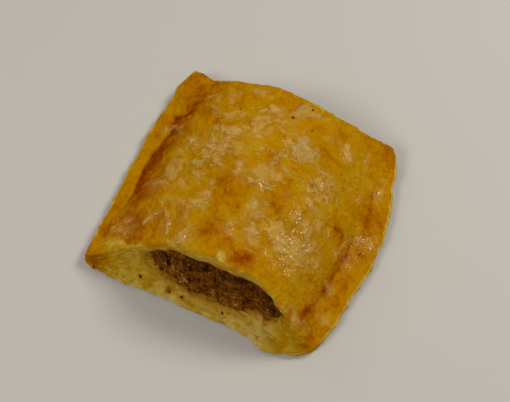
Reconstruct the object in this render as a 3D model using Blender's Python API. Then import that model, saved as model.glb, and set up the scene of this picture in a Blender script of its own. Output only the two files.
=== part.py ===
"""A sausage roll: puff pastry sealed along both sides round a core of sausage meat.

The pastry case is a closed loft. Its sections stand across the roll, each with
a domed top sheet, a sealed flange on either side and a flat base, and the two
cut ends join the outside of the case to the tunnel that holds the filling.
+X runs across the roll, +Y along the filling and +Z up. The origin is the
middle of the roll's box, at the level of its base. Lengths are in metres.
"""

import math

import bmesh
import bpy
from mathutils import Vector, noise

MM = 0.001

# The plan. "Front" is the cut end at -Y.
LENGTH = 102.5 * MM
BELLY_X = {"left": -53.2 * MM, "right": 53.0 * MM}  # the sealed edges where they bulge most
BELLY_V = {"left": 0.35, "right": 0.08}  # where that is, from -1 at the front to 1 at the back
END_X = {  # where the sealed edges would meet the two cut ends, if the corners were square
    ("left", "front"): -48.6 * MM,
    ("right", "front"): 49.0 * MM,
    ("left", "back"): -51.0 * MM,
    ("right", "back"): 46.5 * MM,
}
CORNER_ROUNDING = {  # share of half the width and length that each corner loses
    ("left", "front"): 0.030,
    ("right", "front"): 0.085,
    ("left", "back"): 0.040,
    ("right", "back"): 0.075,
}
CORNER_SHARPNESS = 8  # a higher power keeps the rounding closer to the corner
SIDE_WAVE = 0.8 * MM  # how unevenly the sealed edges run
SIDE_WAVE_SIZE = 24 * MM
SIDE_SEED = {"left": 2.4, "right": 3.3}
END_WAVE = 1.2 * MM  # how unevenly the cut edges run
END_WAVE_SIZE = 16 * MM
END_SEED = {"front": 6.3, "back": 9.7}

# The top sheet and the sealed sides.
CREST_HEIGHT = 33 * MM
FRONT_DROP = 2.0 * MM  # how much lower the crest is at the front cut
BACK_DROP = 6.5 * MM
CREST_X_FRONT = 5 * MM
CREST_X_BACK = -1 * MM
DOME_POWER = {  # 2 is a parabola, more is boxier
    ("left", "front"): 2.0,
    ("right", "front"): 3.0,
    ("left", "back"): 2.1,
    ("right", "back"): 2.0,
}
FLANGE_HEIGHT = 5.6 * MM
EDGE_HEIGHT = 4.4 * MM
FLANGE_U = 0.84  # where the flange starts to thin, as a share of half the width
FOLD_X_MIDDLE = {"left": -45 * MM, "right": 43 * MM}
FOLD_X_END = {"left": -42 * MM, "right": 40.5 * MM}
FOLD_DEPTH = 1.5 * MM
FOLD_HALF_WIDTH = 1.7 * MM
FOLD_V = {"left": -0.05, "right": -0.42}  # where along the roll each fold is deepest
FOLD_REACH = 0.42  # how far along it stays deep, as a share of half the length
FOLD_FLOOR = {"left": 0.0, "right": 0.35}  # the share of its depth that it keeps further on
FOLD_SOFTNESS = 0.26  # how gently the dome runs into the flange where there is no fold
LIP_HEIGHT = 0.5 * MM  # the flange's inner edge stands up beside the fold
LIP_OFFSET = 4.1 * MM
LUMP_HEIGHT = 0.9 * MM
LUMP_SIZE = 17 * MM
LUMP_SEED = 1.3
FLANGE_LUMPS = 0.35  # how lumpy the flanges are beside the dome

# The two back corners turn up at their tips.
CORNER_CURL = 3.6 * MM
CURL_U = 0.70  # where the curl starts, as a share of half the width
CURL_SHARPNESS = 6
BASE_CURL = 0.8  # the base's share of it

# The base, and the edge where the two sheets are pressed together.
BASE_LIFT = 0.9 * MM  # how far the base turns up at its rim
RIM_U = 0.90
RIM_V = 0.95
SEAM_DEPTH = 0.8 * MM
SEAM_HALF_WIDTH = 0.16  # as a share of the edge's height
EDGE_ROUNDING = 1.0 * MM

# The cut ends lean in, because the top sheet shrank and the base sheet didn't.
FRONT_LEAN = 12.8 * MM
BACK_LEAN = 10.5 * MM
LEAN_RISE = 7 * MM  # the height in which most of the lean is made
CORNER_LEAN = 0.22  # share of the lean that is left at a corner

# The filling, and the tunnel that it lies in.
FILLING_HALF_WIDTH = 26.5 * MM
FILLING_HALF_HEIGHT = 9.4 * MM
FILLING_HEIGHT = 15.2 * MM  # its axis above the base, at the front
FILLING_BACK_SHARE = 0.81  # how much smaller it is, and lies, at the back
FILLING_X_FRONT = 4.5 * MM
FILLING_X_BACK = -1.5 * MM
FILLING_POWER = 2.5
FILLING_TILT = math.radians(3)
FILLING_RECESS = 0.5 * MM  # how far its ends lie behind the pastry's
FLANK_ANGLE = math.radians(12)  # the part of the tunnel that faces each sealed edge
FIT_GAP = 0.3 * MM

# How finely the surfaces are divided.
TOP_POINTS = 45
EDGE_POINTS = 5
BASE_POINTS = 13
STATIONS = 36
TUNNEL_STATIONS = 7
FACE_RINGS = 5
FILLING_RINGS = 3
FILLING_POINTS = 40

SHEET_COLOUR = (0.42, 0.18, 0.02, 1)
MEAT_COLOUR = (0.085, 0.035, 0.010, 1)


def mix(a, b, t):
    return a + (b - a) * t


def smooth(value, start=0.0, end=1.0):
    """Rises gently from 0 at the start to 1 at the end."""
    t = min(1.0, max(0.0, (value - start) / (end - start)))
    return t * t * (3 - 2 * t)


def bump(distance, half_width):
    """A bell that is 1 in the middle and has almost died away at twice its half width."""
    return math.exp(-((distance / half_width) ** 2))


def wave(x, y, size, seed):
    """Smooth noise from about -1 to 1, with lumps of the given size."""
    return 1.6 * noise.noise(Vector((x / size, y / size, seed)))


def end_name(v):
    return "front" if v < 0 else "back"


def side_name(u):
    return "left" if u < 0 else "right"


def edge_x(side, v):
    """Where a sealed edge runs across the roll, before its corners are rounded."""
    offset = v - BELLY_V[side]
    belly = math.cos(0.5 * math.pi * min(1.0, abs(offset))) ** 2
    end = "front" if offset < 0 else "back"
    return mix(END_X[side, end], BELLY_X[side], belly)


def plan(u, v):
    """The point of the plan at u across and v along, each from -1 to 1."""
    side = side_name(u)
    left, right = edge_x("left", v), edge_x("right", v)
    middle = 0.5 * (left + right)
    rounding = CORNER_ROUNDING[side, end_name(v)]
    reach = 0.5 * (right - left) * (1 - rounding * abs(v) ** CORNER_SHARPNESS)
    reach += SIDE_WAVE * wave(v * LENGTH, 0, SIDE_WAVE_SIZE, SIDE_SEED[side])
    y = 0.5 * LENGTH * v * (1 - rounding * abs(u) ** CORNER_SHARPNESS)
    y += v * END_WAVE * wave(u * BELLY_X["right"], 0, END_WAVE_SIZE, END_SEED[end_name(v)])
    return middle + u * reach, y


def lean(u, v, z):
    """How far a point at height z is drawn in from the base line, along Y."""
    rise = 1 - math.exp(-z / LEAN_RISE)
    share = mix(1.0, CORNER_LEAN, abs(u) ** 4)
    front = FRONT_LEAN * 0.5 * (1 - v)
    back = BACK_LEAN * 0.5 * (1 + v)
    return rise * share * (front - back)


def fold_line(side, v):
    """Where the fold between the dome and the flange runs, across the roll."""
    return mix(FOLD_X_MIDDLE[side], FOLD_X_END[side], smooth(abs(v)))


def fold_strength(side, v):
    """How deep a fold is at v, as a share. Both folds die away before the cut ends."""
    deep = mix(FOLD_FLOOR[side], 1.0, bump(v - FOLD_V[side], FOLD_REACH))
    return deep * (1 - v**4)


def top_height(x, v, u):
    """The height of the top sheet."""
    crest_x = mix(CREST_X_FRONT, CREST_X_BACK, 0.5 + 0.5 * v)
    drop = FRONT_DROP * smooth(-v) + BACK_DROP * smooth(v)
    side = side_name(x - crest_x)
    fold_x = fold_line(side, v)
    across = (x - crest_x) / (fold_x - crest_x)
    power = mix(DOME_POWER[side, "front"], DOME_POWER[side, "back"], 0.5 + 0.5 * v)
    strength = fold_strength(side, v)
    softness = FOLD_SOFTNESS * (1 - strength)
    dome = 1 - across ** power
    dome = 0.5 * (dome + math.hypot(dome, softness))
    lift = (CREST_HEIGHT - drop - FLANGE_HEIGHT) * dome
    out_of_fold = abs(x) - abs(fold_x)
    groove = FOLD_DEPTH * strength * bump(out_of_fold, FOLD_HALF_WIDTH)
    lip = LIP_HEIGHT * strength * bump(out_of_fold - LIP_OFFSET, FOLD_HALF_WIDTH)
    lumps = LUMP_HEIGHT * wave(x, v * 0.5 * LENGTH, LUMP_SIZE, LUMP_SEED)
    lumps *= mix(FLANGE_LUMPS, 1.0, dome)
    flange = mix(FLANGE_HEIGHT, EDGE_HEIGHT, smooth(abs(u), FLANGE_U))
    return flange + lift - groove + lip + lumps + corner_curl(u, v)


def corner_curl(u, v):
    return CORNER_CURL * smooth(v) ** CURL_SHARPNESS * smooth(abs(u), CURL_U)


def base_height(u, v):
    """The base is flat, turns up a little at its rim, and follows the two curled corners."""
    rim = BASE_LIFT * max(smooth(abs(u), RIM_U), smooth(abs(v), RIM_V))
    return rim + BASE_CURL * corner_curl(u, v)


def case_section(v):
    """The outside of the case at v: points that run over the top from left to right, and then
    back below."""
    section = []
    for i in range(TOP_POINTS):
        u = mix(-1, 1, i / (TOP_POINTS - 1))
        x, y = plan(u, v)
        z = top_height(x, v, u)
        section.append((x, y + lean(u, v, z), z))
    section += sealed_edge(1, v)
    for i in range(BASE_POINTS):
        u = mix(1, -1, i / (BASE_POINTS - 1))
        x, y = plan(u, v)
        z = base_height(u, v)
        section.append((x - EDGE_ROUNDING * u * abs(u) ** 12, y + lean(u, v, z), z))
    section += sealed_edge(-1, v)
    return section


def sealed_edge(side, v):
    """The side of the flange: two rounded sheets with the seam between them."""
    x, y = plan(side, v)
    top = top_height(x, v, side)
    bottom = base_height(side, v)
    points = []
    for i in range(EDGE_POINTS):
        down = (i + 1) / (EDGE_POINTS + 1)
        seam = SEAM_DEPTH * bump(down - 0.5, SEAM_HALF_WIDTH)
        bulge = EDGE_ROUNDING * math.sin(math.pi * down) ** 0.5
        z = mix(top, bottom, down)
        points.append((x + side * (bulge - seam), y + lean(side, v, z), z))
    return points if side > 0 else points[::-1]


def share_across(x, v):
    """The plan's u for a place x across the roll."""
    middle = plan(0, v)[0]
    side = -1 if x < middle else 1
    return side * min(1.0, (x - middle) / (plan(side, v)[0] - middle))


def cut_face(x, z, v):
    """The point of a cut end at x across and z up. v is -1 at the front and 1 at the back."""
    u = share_across(x, v)
    return x, plan(u, v)[1] + lean(u, v, z), z


def height_range(x, v):
    """The lowest and the highest point of the case at x across."""
    u = share_across(x, v)
    return base_height(u, v), top_height(x, v, u)


def filling_outline(angle, v, gap):
    """A point round the filling. The angle starts at the right-hand side and turns upwards."""
    share = mix(1, FILLING_BACK_SHARE, 0.5 + 0.5 * v)
    wide = share * FILLING_HALF_WIDTH - gap
    high = share * FILLING_HALF_HEIGHT - gap
    cosine, sine = math.cos(angle), math.sin(angle)
    power = 2 / FILLING_POWER
    across = wide * math.copysign(abs(cosine) ** power, cosine)
    up = high * math.copysign(abs(sine) ** power, sine)
    turned_x = across * math.cos(FILLING_TILT) - up * math.sin(FILLING_TILT)
    turned_z = across * math.sin(FILLING_TILT) + up * math.cos(FILLING_TILT)
    middle = mix(FILLING_X_FRONT, FILLING_X_BACK, 0.5 + 0.5 * v)
    return middle + turned_x, share * FILLING_HEIGHT + turned_z


def tunnel_angles():
    """One angle for each point of the case's section, so that the two outlines pair up."""
    flank, half_turn = FLANK_ANGLE, math.pi
    top = [mix(half_turn - flank, flank, i / (TOP_POINTS - 1)) for i in range(TOP_POINTS)]
    right = [mix(flank, -flank, (i + 1) / (EDGE_POINTS + 1)) for i in range(EDGE_POINTS)]
    base = [mix(-flank, flank - half_turn, i / (BASE_POINTS - 1)) for i in range(BASE_POINTS)]
    left = [half_turn + angle for angle in right]
    return top + right + base + left


def bridge(bm, first, second):
    """Joins two rings of vertices of the same length by a band of faces."""
    count = len(first)
    for i in range(count):
        k = (i + 1) % count
        bm.faces.new((first[i], first[k], second[k], second[i]))


def add_ring(bm, points):
    return [bm.verts.new(point) for point in points]


def finished_object(bm, name, collection, material):
    bmesh.ops.recalc_face_normals(bm, faces=bm.faces)
    mesh = bpy.data.meshes.new(name)
    bm.to_mesh(mesh)
    bm.free()
    mesh.shade_smooth()
    mesh.set_sharp_from_angle(angle=math.radians(50))
    mesh.materials.append(material)
    obj = bpy.data.objects.new(name, mesh)
    collection.objects.link(obj)
    return obj


def face_rings(bm, outer, tunnel, v):
    """The rings of a cut end between the outside of the case and the tunnel's mouth.

    They are spaced out by their share of the case's height, so that none of them crosses its
    hollow flanks.
    """
    rings = []
    for r in range(1, FACE_RINGS):
        points = []
        for a, b in zip(outer, tunnel):
            x = mix(a.co.x, b.co.x, r / FACE_RINGS)
            share = mix(height_share(a.co, v), height_share(b.co, v), r / FACE_RINGS)
            low, high = height_range(x, v)
            points.append(cut_face(x, mix(low, high, share), v))
        rings.append(add_ring(bm, points))
    return rings


def height_share(point, v):
    low, high = height_range(point.x, v)
    return (point.z - low) / (high - low)


def make_case(collection, material):
    """The pastry, with the tunnel for the filling right through it."""
    bm = bmesh.new()
    outside = []
    for j in range(STATIONS):
        # Stations lie closer together towards the two cut ends.
        v = math.sin(0.5 * math.pi * mix(-1, 1, j / (STATIONS - 1)))
        outside.append(add_ring(bm, case_section(v)))
    angles = tunnel_angles()
    inside = []
    for j in range(TUNNEL_STATIONS):
        v = mix(-1, 1, j / (TUNNEL_STATIONS - 1))
        outline = [filling_outline(angle, v, 0) for angle in angles]
        front = [cut_face(x, z, -1)[1] for x, z in outline]
        back = [cut_face(x, z, 1)[1] for x, z in outline]
        share = 0.5 + 0.5 * v
        points = [(x, mix(f, b, share), z) for (x, z), f, b in zip(outline, front, back)]
        inside.append(add_ring(bm, points))
    skin = outside
    skin = skin + face_rings(bm, outside[-1], inside[-1], 1)
    skin = skin + inside[::-1]
    skin = skin + face_rings(bm, outside[0], inside[0], -1)[::-1]
    for first, second in zip(skin, skin[1:] + skin[:1]):
        bridge(bm, first, second)
    return finished_object(bm, "pastry_case", collection, material)


def make_filling(collection, material):
    """The sausage meat, one body that shows at both cut ends."""
    bm = bmesh.new()
    angles = [2 * math.pi * i / FILLING_POINTS for i in range(FILLING_POINTS)]
    rings = []
    for j in range(TUNNEL_STATIONS):
        v = mix(-1, 1, j / (TUNNEL_STATIONS - 1))
        share = 0.5 + 0.5 * v
        points = []
        for angle in angles:
            x, z = filling_outline(angle, v, FIT_GAP)
            front = filling_end(x, z, -1)
            back = filling_end(x, z, 1)
            points.append((x, mix(front, back, share), z))
        rings.append(add_ring(bm, points))
    for end, v in ((rings[-1], 1), (rings[0], -1)):
        close_filling(bm, end, v)
    for first, second in zip(rings, rings[1:]):
        bridge(bm, first, second)
    return finished_object(bm, "sausage_filling", collection, material)


def filling_end(x, z, v):
    """Where an end of the filling lies along Y: a little behind the pastry's cut face."""
    return cut_face(x, z, v)[1] - v * FILLING_RECESS


def close_filling(bm, rim, v):
    """Closes an end of the filling with rings that shrink to its middle."""
    middle_x = sum(vert.co.x for vert in rim) / len(rim)
    middle_z = sum(vert.co.z for vert in rim) / len(rim)
    last = rim
    for r in range(1, FILLING_RINGS):
        share = r / FILLING_RINGS
        points = []
        for vert in rim:
            x = mix(vert.co.x, middle_x, share)
            z = mix(vert.co.z, middle_z, share)
            points.append((x, filling_end(x, z, v), z))
        ring = add_ring(bm, points)
        bridge(bm, last, ring)
        last = ring
    centre = bm.verts.new((middle_x, filling_end(middle_x, middle_z, v), middle_z))
    for i in range(len(last)):
        bm.faces.new((last[i], last[(i + 1) % len(last)], centre))


def make_material(name, colour, roughness):
    material = bpy.data.materials.new(name)
    material.use_nodes = True
    shader = material.node_tree.nodes["Principled BSDF"]
    shader.inputs["Base Color"].default_value = colour
    shader.inputs["Roughness"].default_value = roughness
    shader.inputs["Metallic"].default_value = 0.0
    return material


def centre_on_box(objects):
    """Moves the meshes together, so that the origin is the middle of their box, at the base."""
    corners = [vert.co for obj in objects for vert in obj.data.vertices]
    low = Vector(min(c[axis] for c in corners) for axis in range(3))
    high = Vector(max(c[axis] for c in corners) for axis in range(3))
    middle = 0.5 * (low + high)
    shift = Vector((-middle.x, -middle.y, -low.z))
    for obj in objects:
        for vert in obj.data.vertices:
            vert.co += shift


def main():
    for obj in list(bpy.data.objects):
        bpy.data.objects.remove(obj)
    collection = bpy.data.collections.new("sausage_roll")
    bpy.context.scene.collection.children.link(collection)
    crust = make_material("golden puff pastry", SHEET_COLOUR, 0.42)
    meat = make_material("cooked sausage meat", MEAT_COLOUR, 0.75)
    case = make_case(collection, crust)
    filling = make_filling(collection, meat)
    centre_on_box([case, filling])


main()
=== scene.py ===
# %% [markdown]
# # A puff pastry sausage roll
# The roll is a folded sheet of puff pastry round a core of sausage meat, sealed along both sides,
# cut at both ends, brushed with egg and baked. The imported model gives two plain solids, the case
# and the filling. Each step below makes one of them into the real thing: first its shape, then its
# relief, then its finish.

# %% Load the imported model
import math

import bmesh
import bpy
import numpy as np
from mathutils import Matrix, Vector
from mathutils.noise import noise as smooth_noise
from mathutils.bvhtree import BVHTree


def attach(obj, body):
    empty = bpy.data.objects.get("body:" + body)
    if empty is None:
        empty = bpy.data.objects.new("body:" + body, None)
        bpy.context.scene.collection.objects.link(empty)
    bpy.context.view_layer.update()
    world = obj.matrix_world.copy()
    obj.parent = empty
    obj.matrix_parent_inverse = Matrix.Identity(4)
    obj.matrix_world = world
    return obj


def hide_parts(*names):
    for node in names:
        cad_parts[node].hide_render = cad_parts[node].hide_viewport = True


MM = 0.001
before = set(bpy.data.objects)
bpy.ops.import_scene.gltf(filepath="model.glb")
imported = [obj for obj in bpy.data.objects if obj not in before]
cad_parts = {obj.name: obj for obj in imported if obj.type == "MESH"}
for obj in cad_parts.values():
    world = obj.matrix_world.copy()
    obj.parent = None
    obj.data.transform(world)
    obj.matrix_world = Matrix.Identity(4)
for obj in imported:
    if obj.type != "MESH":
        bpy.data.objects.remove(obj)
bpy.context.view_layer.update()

# %% [markdown]
# Colours are picked as sRGB hex values, as a colour picker shows them, but a shader works with
# linear light. One function turns one into the other. A second one adds a node to a tree with its
# settings and links, which keeps the materials below readable. Where several patterns add up to
# one number, such as how far a place has browned, or several colours lie over each other, a loop
# builds the chain. Inputs go by name, or by number where a node has no name of its own for each: a
# Math node's values are 0, 1 and 2, and a Map Range turns the range from 1 to 2 into that of 3 to 4.

# %% Helpers for node trees
def linear(hex_colour):
    """An sRGB hex colour as the linear red, green, blue and alpha that a shader takes."""
    channels = [int(hex_colour[i:i + 2], 16) / 255 for i in (1, 3, 5)]
    return *(c / 12.92 if c <= 0.04045 else ((c + 0.055) / 1.055) ** 2.4 for c in channels), 1.0


def set_inputs(node, inputs):
    """Sets inputs to values, or links them to another node's first output or to a given output."""
    for name, value in inputs.items():
        if isinstance(value, bpy.types.Node):
            value = value.outputs[0]
        if isinstance(value, bpy.types.NodeSocket):
            node.id_data.links.new(value, node.inputs[name])
        else:
            node.inputs[name].default_value = value


def add(tree, kind, inputs=None, stops=(), **settings):
    """Adds a node with its settings and inputs. A colour ramp's stops are positions and colours."""
    node = tree.nodes.new(kind)
    for name, value in settings.items():
        setattr(node, name, value)
    for number, (position, colour) in enumerate(stops):
        elements = node.color_ramp.elements
        stop = elements[number] if number < 2 else elements.new(position)
        stop.position = position
        stop.color = linear(colour)
    set_inputs(node, inputs or {})
    return node


def weighted_sum(tree, total, terms):
    """Adds each source times its weight to the total, one after another."""
    for source, weight in terms:
        total = add(tree, "ShaderNodeMath", {
            0: source, 1: weight, 2: total}, operation="MULTIPLY_ADD")
    return total


def chain(tree, operation, total, *others):
    """Runs one operation of arithmetic along several sources, from left to right."""
    for other in others:
        total = add(tree, "ShaderNodeMath", {0: total, 1: other}, operation=operation)
    return total


def painted(tree, colour, *coats):
    """Lays coats of colour over each other, each as thick as its mask says."""
    for mask, over in coats:
        colour = add(tree, "ShaderNodeMix", {
            0: mask, 6: colour, 7: over}, data_type="RGBA").outputs[2]
    return colour


def new_material(name):
    """A material that uses nodes, with its tree and its shader."""
    material = bpy.data.materials.new(name)
    material.use_nodes = True
    return material, material.node_tree, material.node_tree.nodes["Principled BSDF"]


# %% [markdown]
# The camera looks down on one cut end and the right-hand side, from a hand's breadth above the
# counter. It is placed by its azimuth and elevation round a point in the middle of the roll.

# %% Camera
CAMERA_AZIMUTH = math.radians(25)
CAMERA_ELEVATION = math.radians(61)
CAMERA_DISTANCE = 285 * MM
CAMERA_TARGET = Vector((0.15, 3.5, 0)) * MM
VIEW_ANGLE = math.radians(40)

outward = Vector((math.sin(CAMERA_AZIMUTH) * math.cos(CAMERA_ELEVATION),
                  -math.cos(CAMERA_AZIMUTH) * math.cos(CAMERA_ELEVATION),
                  math.sin(CAMERA_ELEVATION)))
camera = bpy.data.objects.new("camera", bpy.data.cameras.new("camera"))
camera.data.sensor_width = 36
camera.data.lens = 0.5 * camera.data.sensor_width / math.tan(0.5 * VIEW_ANGLE)
camera.data.clip_start = 10 * MM
camera.location = CAMERA_TARGET + CAMERA_DISTANCE * outward
camera.rotation_euler = (-outward).to_track_quat("-Z", "Y").to_euler()
bpy.context.scene.collection.objects.link(camera)
bpy.context.scene.camera = camera
bpy.context.scene.view_settings.view_transform = "Standard"
print("camera at, mm:", [round(v / MM) for v in camera.location], "lens", round(camera.data.lens, 1))

# %% [markdown]
# The floor is a plain pale sheet. The light comes from three soft boxes. The strongest hangs above
# and behind the roll and draws the shine on the egg wash, one high in front shows the cut end, and
# a weak one at the left lifts the fold there. A weak grey world fills the shadows.

# %% Floor and lights
FLOOR_SIZE = 3.0
FLOOR_DROP = 0.05 * MM  # so that the floor and the underside of the roll are not in one plane
LIGHT_DISTANCE = 0.9
# Each soft box: its name, its direction from the roll, its size in metres, its power and colour.
SOFT_BOXES = [("overhead softbox", (0.58, 0.72, 1.0), 0.26, 4.30, "#fff8ee"),
              ("side softbox", (-0.95, 0.30, 0.70), 0.18, 0.5, "#fff8ee"),
              ("front softbox", (-0.45, -0.85, 1.0), 0.30, 2.75, "#fffaf4")]


def new_object(name, data):
    """An object at the origin that holds a mesh or a light, put into the scene."""
    thing = bpy.data.objects.new(name, data)
    bpy.context.scene.collection.objects.link(thing)
    return thing


half = 0.5 * FLOOR_SIZE
corners = [(-half, -half, -FLOOR_DROP), (half, -half, -FLOOR_DROP),
           (half, half, -FLOOR_DROP), (-half, half, -FLOOR_DROP)]
floor_mesh = bpy.data.meshes.new("floor")
floor_mesh.from_pydata(corners, [], [(0, 1, 2, 3)])
floor = new_object("floor", floor_mesh)
paper, _, shader = new_material("matt paper backdrop")
set_inputs(shader, {"Base Color": linear("#c6c4be"), "Roughness": 0.9})
floor.data.materials.append(paper)

for name, direction, size, power, colour in SOFT_BOXES:
    light = bpy.data.lights.new(name, "AREA")
    light.shape = "SQUARE"
    light.size = size
    light.energy = power
    light.color = linear(colour)[:3]
    lamp = new_object(name, light)
    lamp.location = LIGHT_DISTANCE * Vector(direction).normalized()
    lamp.rotation_euler = (-lamp.location).to_track_quat("-Z", "Y").to_euler()
world = bpy.data.worlds.new("dim studio")
world.use_nodes = True
set_inputs(world.node_tree.nodes["Background"], {"Color": linear("#f8f8f8"), "Strength": 0.25})
bpy.context.scene.world = world
print("floor and", len(SOFT_BOXES), "soft boxes")

# %% [markdown]
# The blisters, flakes and layers of the crust are less than a millimetre high, so they need a
# dense and even mesh. The CAD solid is merged into one surface and smoothed by one subdivision,
# and a voxel remesh then covers it with small quads. Its underside and the wall of its tunnel are
# flat or hidden, so a Decimate modifier thins them out again.

# %% Mesh tools
def merged_mesh(node):
    """A CAD node's loose triangles as one surface, with its quads put together again."""
    mesh = bmesh.new()
    mesh.from_mesh(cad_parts[node].data)
    bmesh.ops.remove_doubles(mesh, verts=mesh.verts, dist=0.001 * MM)
    bmesh.ops.join_triangles(mesh, faces=mesh.faces, angle_face_threshold=math.radians(35),
                             angle_shape_threshold=math.radians(50))
    merged = bpy.data.meshes.new(node + " merged")
    mesh.to_mesh(merged)
    mesh.free()
    return merged


def settle(piece):
    """Turns an object's modifiers into plain mesh."""
    graph = bpy.context.evaluated_depsgraph_get()
    settled = bpy.data.meshes.new_from_object(piece.evaluated_get(graph),
                                              preserve_all_data_layers=True, depsgraph=graph)
    old = piece.data
    piece.modifiers.clear()
    piece.data = settled
    bpy.data.meshes.remove(old)


def read(items, name, columns, kind=np.float32):
    """One value of each item of a mesh, such as the place of each vertex, as an array."""
    values = np.empty(columns * len(items), dtype=kind)
    items.foreach_get(name, values)
    return values.reshape(-1, columns)


def vertex_places(mesh):
    return read(mesh.vertices, "co", 3).astype(float)


def vertex_normals(mesh):
    return read(mesh.vertex_normals, "vector", 3).astype(float)


def move_vertices(mesh, places):
    mesh.vertices.foreach_set("co", places.astype(np.float32).ravel())


def surface_tree(mesh, polygons=None):
    """A search tree of a mesh's surface, or of some of its polygons."""
    places = [v.co for v in mesh.vertices]
    if polygons is None:
        polygons = range(len(mesh.polygons))
    return BVHTree.FromPolygons(places, [mesh.polygons[i].vertices[:] for i in polygons])


def triangle_count(mesh):
    return sum(len(polygon.vertices) - 2 for polygon in mesh.polygons)


# %% The parts of the case's surface
SIDE_REACH = 38 * MM  # the sealed edges lie further out than this
CUT_REACH = 32 * MM  # the sloping cut ends lie further out than this
CORNER_FOLD = 4 * MM  # how far out the folds reach beside the cut ends
LONG_FOLD = 8.5 * MM  # and between them
FACES_CUT = 0.42  # a normal's share along Y, from which a face counts as cut
UPRIGHT = 0.6  # a normal's share along an axis, from which a face counts as turned that way
TUNNEL_GAP = 0.9 * MM

case_cad = merged_mesh("pastry_case")
filling_cad = merged_mesh("sausage_filling")
filling_surface = surface_tree(filling_cad)


def surface_part(polygon):
    """Which part of the case a CAD face belongs to."""
    place, normal = polygon.center, polygon.normal
    gap = filling_surface.find_nearest(place)[3]
    if gap < TUNNEL_GAP and abs(normal.y) < UPRIGHT:
        return "tunnel"
    end = 1 if place.y > 0 else -1
    if end * normal.y > FACES_CUT and abs(place.y) > CUT_REACH and normal.z > -UPRIGHT:
        return "cut"
    fold = CORNER_FOLD if abs(place.y) > SIDE_REACH else LONG_FOLD
    if abs(normal.x) > UPRIGHT and abs(place.x) > SIDE_REACH + fold:
        return "side"
    return "base" if normal.z < 0 else "crust"


part_of_face = [surface_part(polygon) for polygon in case_cad.polygons]
PARTS = ("crust", "cut", "side", "base", "tunnel")
for part in PARTS:
    print(part, "faces:", part_of_face.count(part))

# %% Dense, even meshes
def dense_copy(name, cad_mesh, voxel, kind="CATMULL_CLARK"):
    """A CAD surface, divided once and then covered with small even quads."""
    piece = new_object(name, cad_mesh.copy())
    smoother = piece.modifiers.new("smooth facets", "SUBSURF")
    smoother.subdivision_type = kind
    smoother.levels = smoother.render_levels = 1
    remesh = piece.modifiers.new("even quads", "REMESH")
    remesh.mode = "VOXEL"
    remesh.voxel_size = voxel
    settle(piece)
    return piece


def thin_out(piece, hidden, coarse_share):
    """Leaves this share of the faces where a vertex is hidden, and all of them elsewhere."""
    group = piece.vertex_groups.new(name="coarse")
    group.add(np.nonzero(hidden)[0].tolist(), 1.0, "REPLACE")
    thinner = piece.modifiers.new("thin the hidden faces", "DECIMATE")
    thinner.vertex_group = "coarse"
    thinner.ratio = 1 - hidden.mean() * (1 - coarse_share)
    before = triangle_count(piece.data)
    settle(piece)
    print(piece.name, "went from", before, "to", triangle_count(piece.data), "triangles")


# %% The pastry case
PASTRY_QUAD = 0.50 * MM
HIDDEN_SHARE = 0.07  # of the faces are left on the underside and in the tunnel

pastry = dense_copy("pastry", case_cad, PASTRY_QUAD)
case_surface = surface_tree(case_cad)


def vertex_parts(mesh):
    """For each part's name, a mask of the vertices that lie on it."""
    nearest = [case_surface.find_nearest(vertex.co)[2] for vertex in mesh.vertices]
    names = np.array([part_of_face[i] for i in nearest])
    return {part: (names == part).astype(float) for part in PARTS}


def spread(mesh, values, rounds):
    """Blurs a value per vertex along the mesh's edges."""
    a, b = read(mesh.edges, "vertices", 2, np.int32).T
    count = np.bincount(a, minlength=len(values)) + np.bincount(b, minlength=len(values))
    for _ in range(rounds):
        total = np.bincount(a, values[b], len(values)) + np.bincount(b, values[a], len(values))
        values = 0.5 * (values + total / np.maximum(count, 1))
    return values


hidden = vertex_parts(pastry.data)
hidden = spread(pastry.data, hidden["base"] + hidden["tunnel"], 3) > 0.98
thin_out(pastry, hidden, HIDDEN_SHARE)

# %% [markdown]
# Two things make the cut end look baked and not machined. The roof has sunk a little on to the
# meat at the left of the front arch, and the line where meat and dough meet is ragged. Both are
# written as functions of place, so that the pastry and the meat move together and stay in touch.

# %% Sag and ragged mouths
SAG_DEPTH = 2.2 * MM
MOUTH_WAVES = ((3.5 * MM, 1.8 * MM), (1.3 * MM, 0.9 * MM))  # size and reach of each noise
MOUTH_START, MOUTH_FULL = 34 * MM, 38 * MM  # how far out along the roll it begins and is whole


def sag(places):
    """Lowers the left of the front arch, more the higher a place is."""
    x, y, z = places.T / MM
    near = np.exp(-(((x + 20) / 13) ** 2) - ((y + 45) / 15) ** 2)
    lifted = np.clip((z - 7) / 9, 0, 1)
    moved = places.copy()
    moved[:, 2] -= SAG_DEPTH * near * lifted
    return moved


def ragged_mouth(places, share):
    """Moves places across and up by noise near both ends, by a share of it for each place."""
    near_end = (np.abs(places[:, 1]) - MOUTH_START) / (MOUTH_FULL - MOUTH_START)
    near_end = np.clip(near_end, 0, 1) * share
    moved = places.copy()
    for number in np.nonzero(near_end > 0.02)[0]:
        x, y, z = places[number]
        for size, reach in MOUTH_WAVES:
            at = Vector((x, 0.3 * y, z)) / size
            moved[number, 0] += near_end[number] * reach * smooth_noise(at)
            moved[number, 2] += near_end[number] * reach * smooth_noise(at + Vector((9, 31, 17)))
    return moved


# %% [markdown]
# Puff pastry shows its making. The crust is browned most on the thin flanges and in the folds
# beside them, and least where the layers have been cut. These places are given once, in plan, as
# soft spots and as short lines. They become numbers on the mesh that the relief and the finish
# both read.

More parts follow.
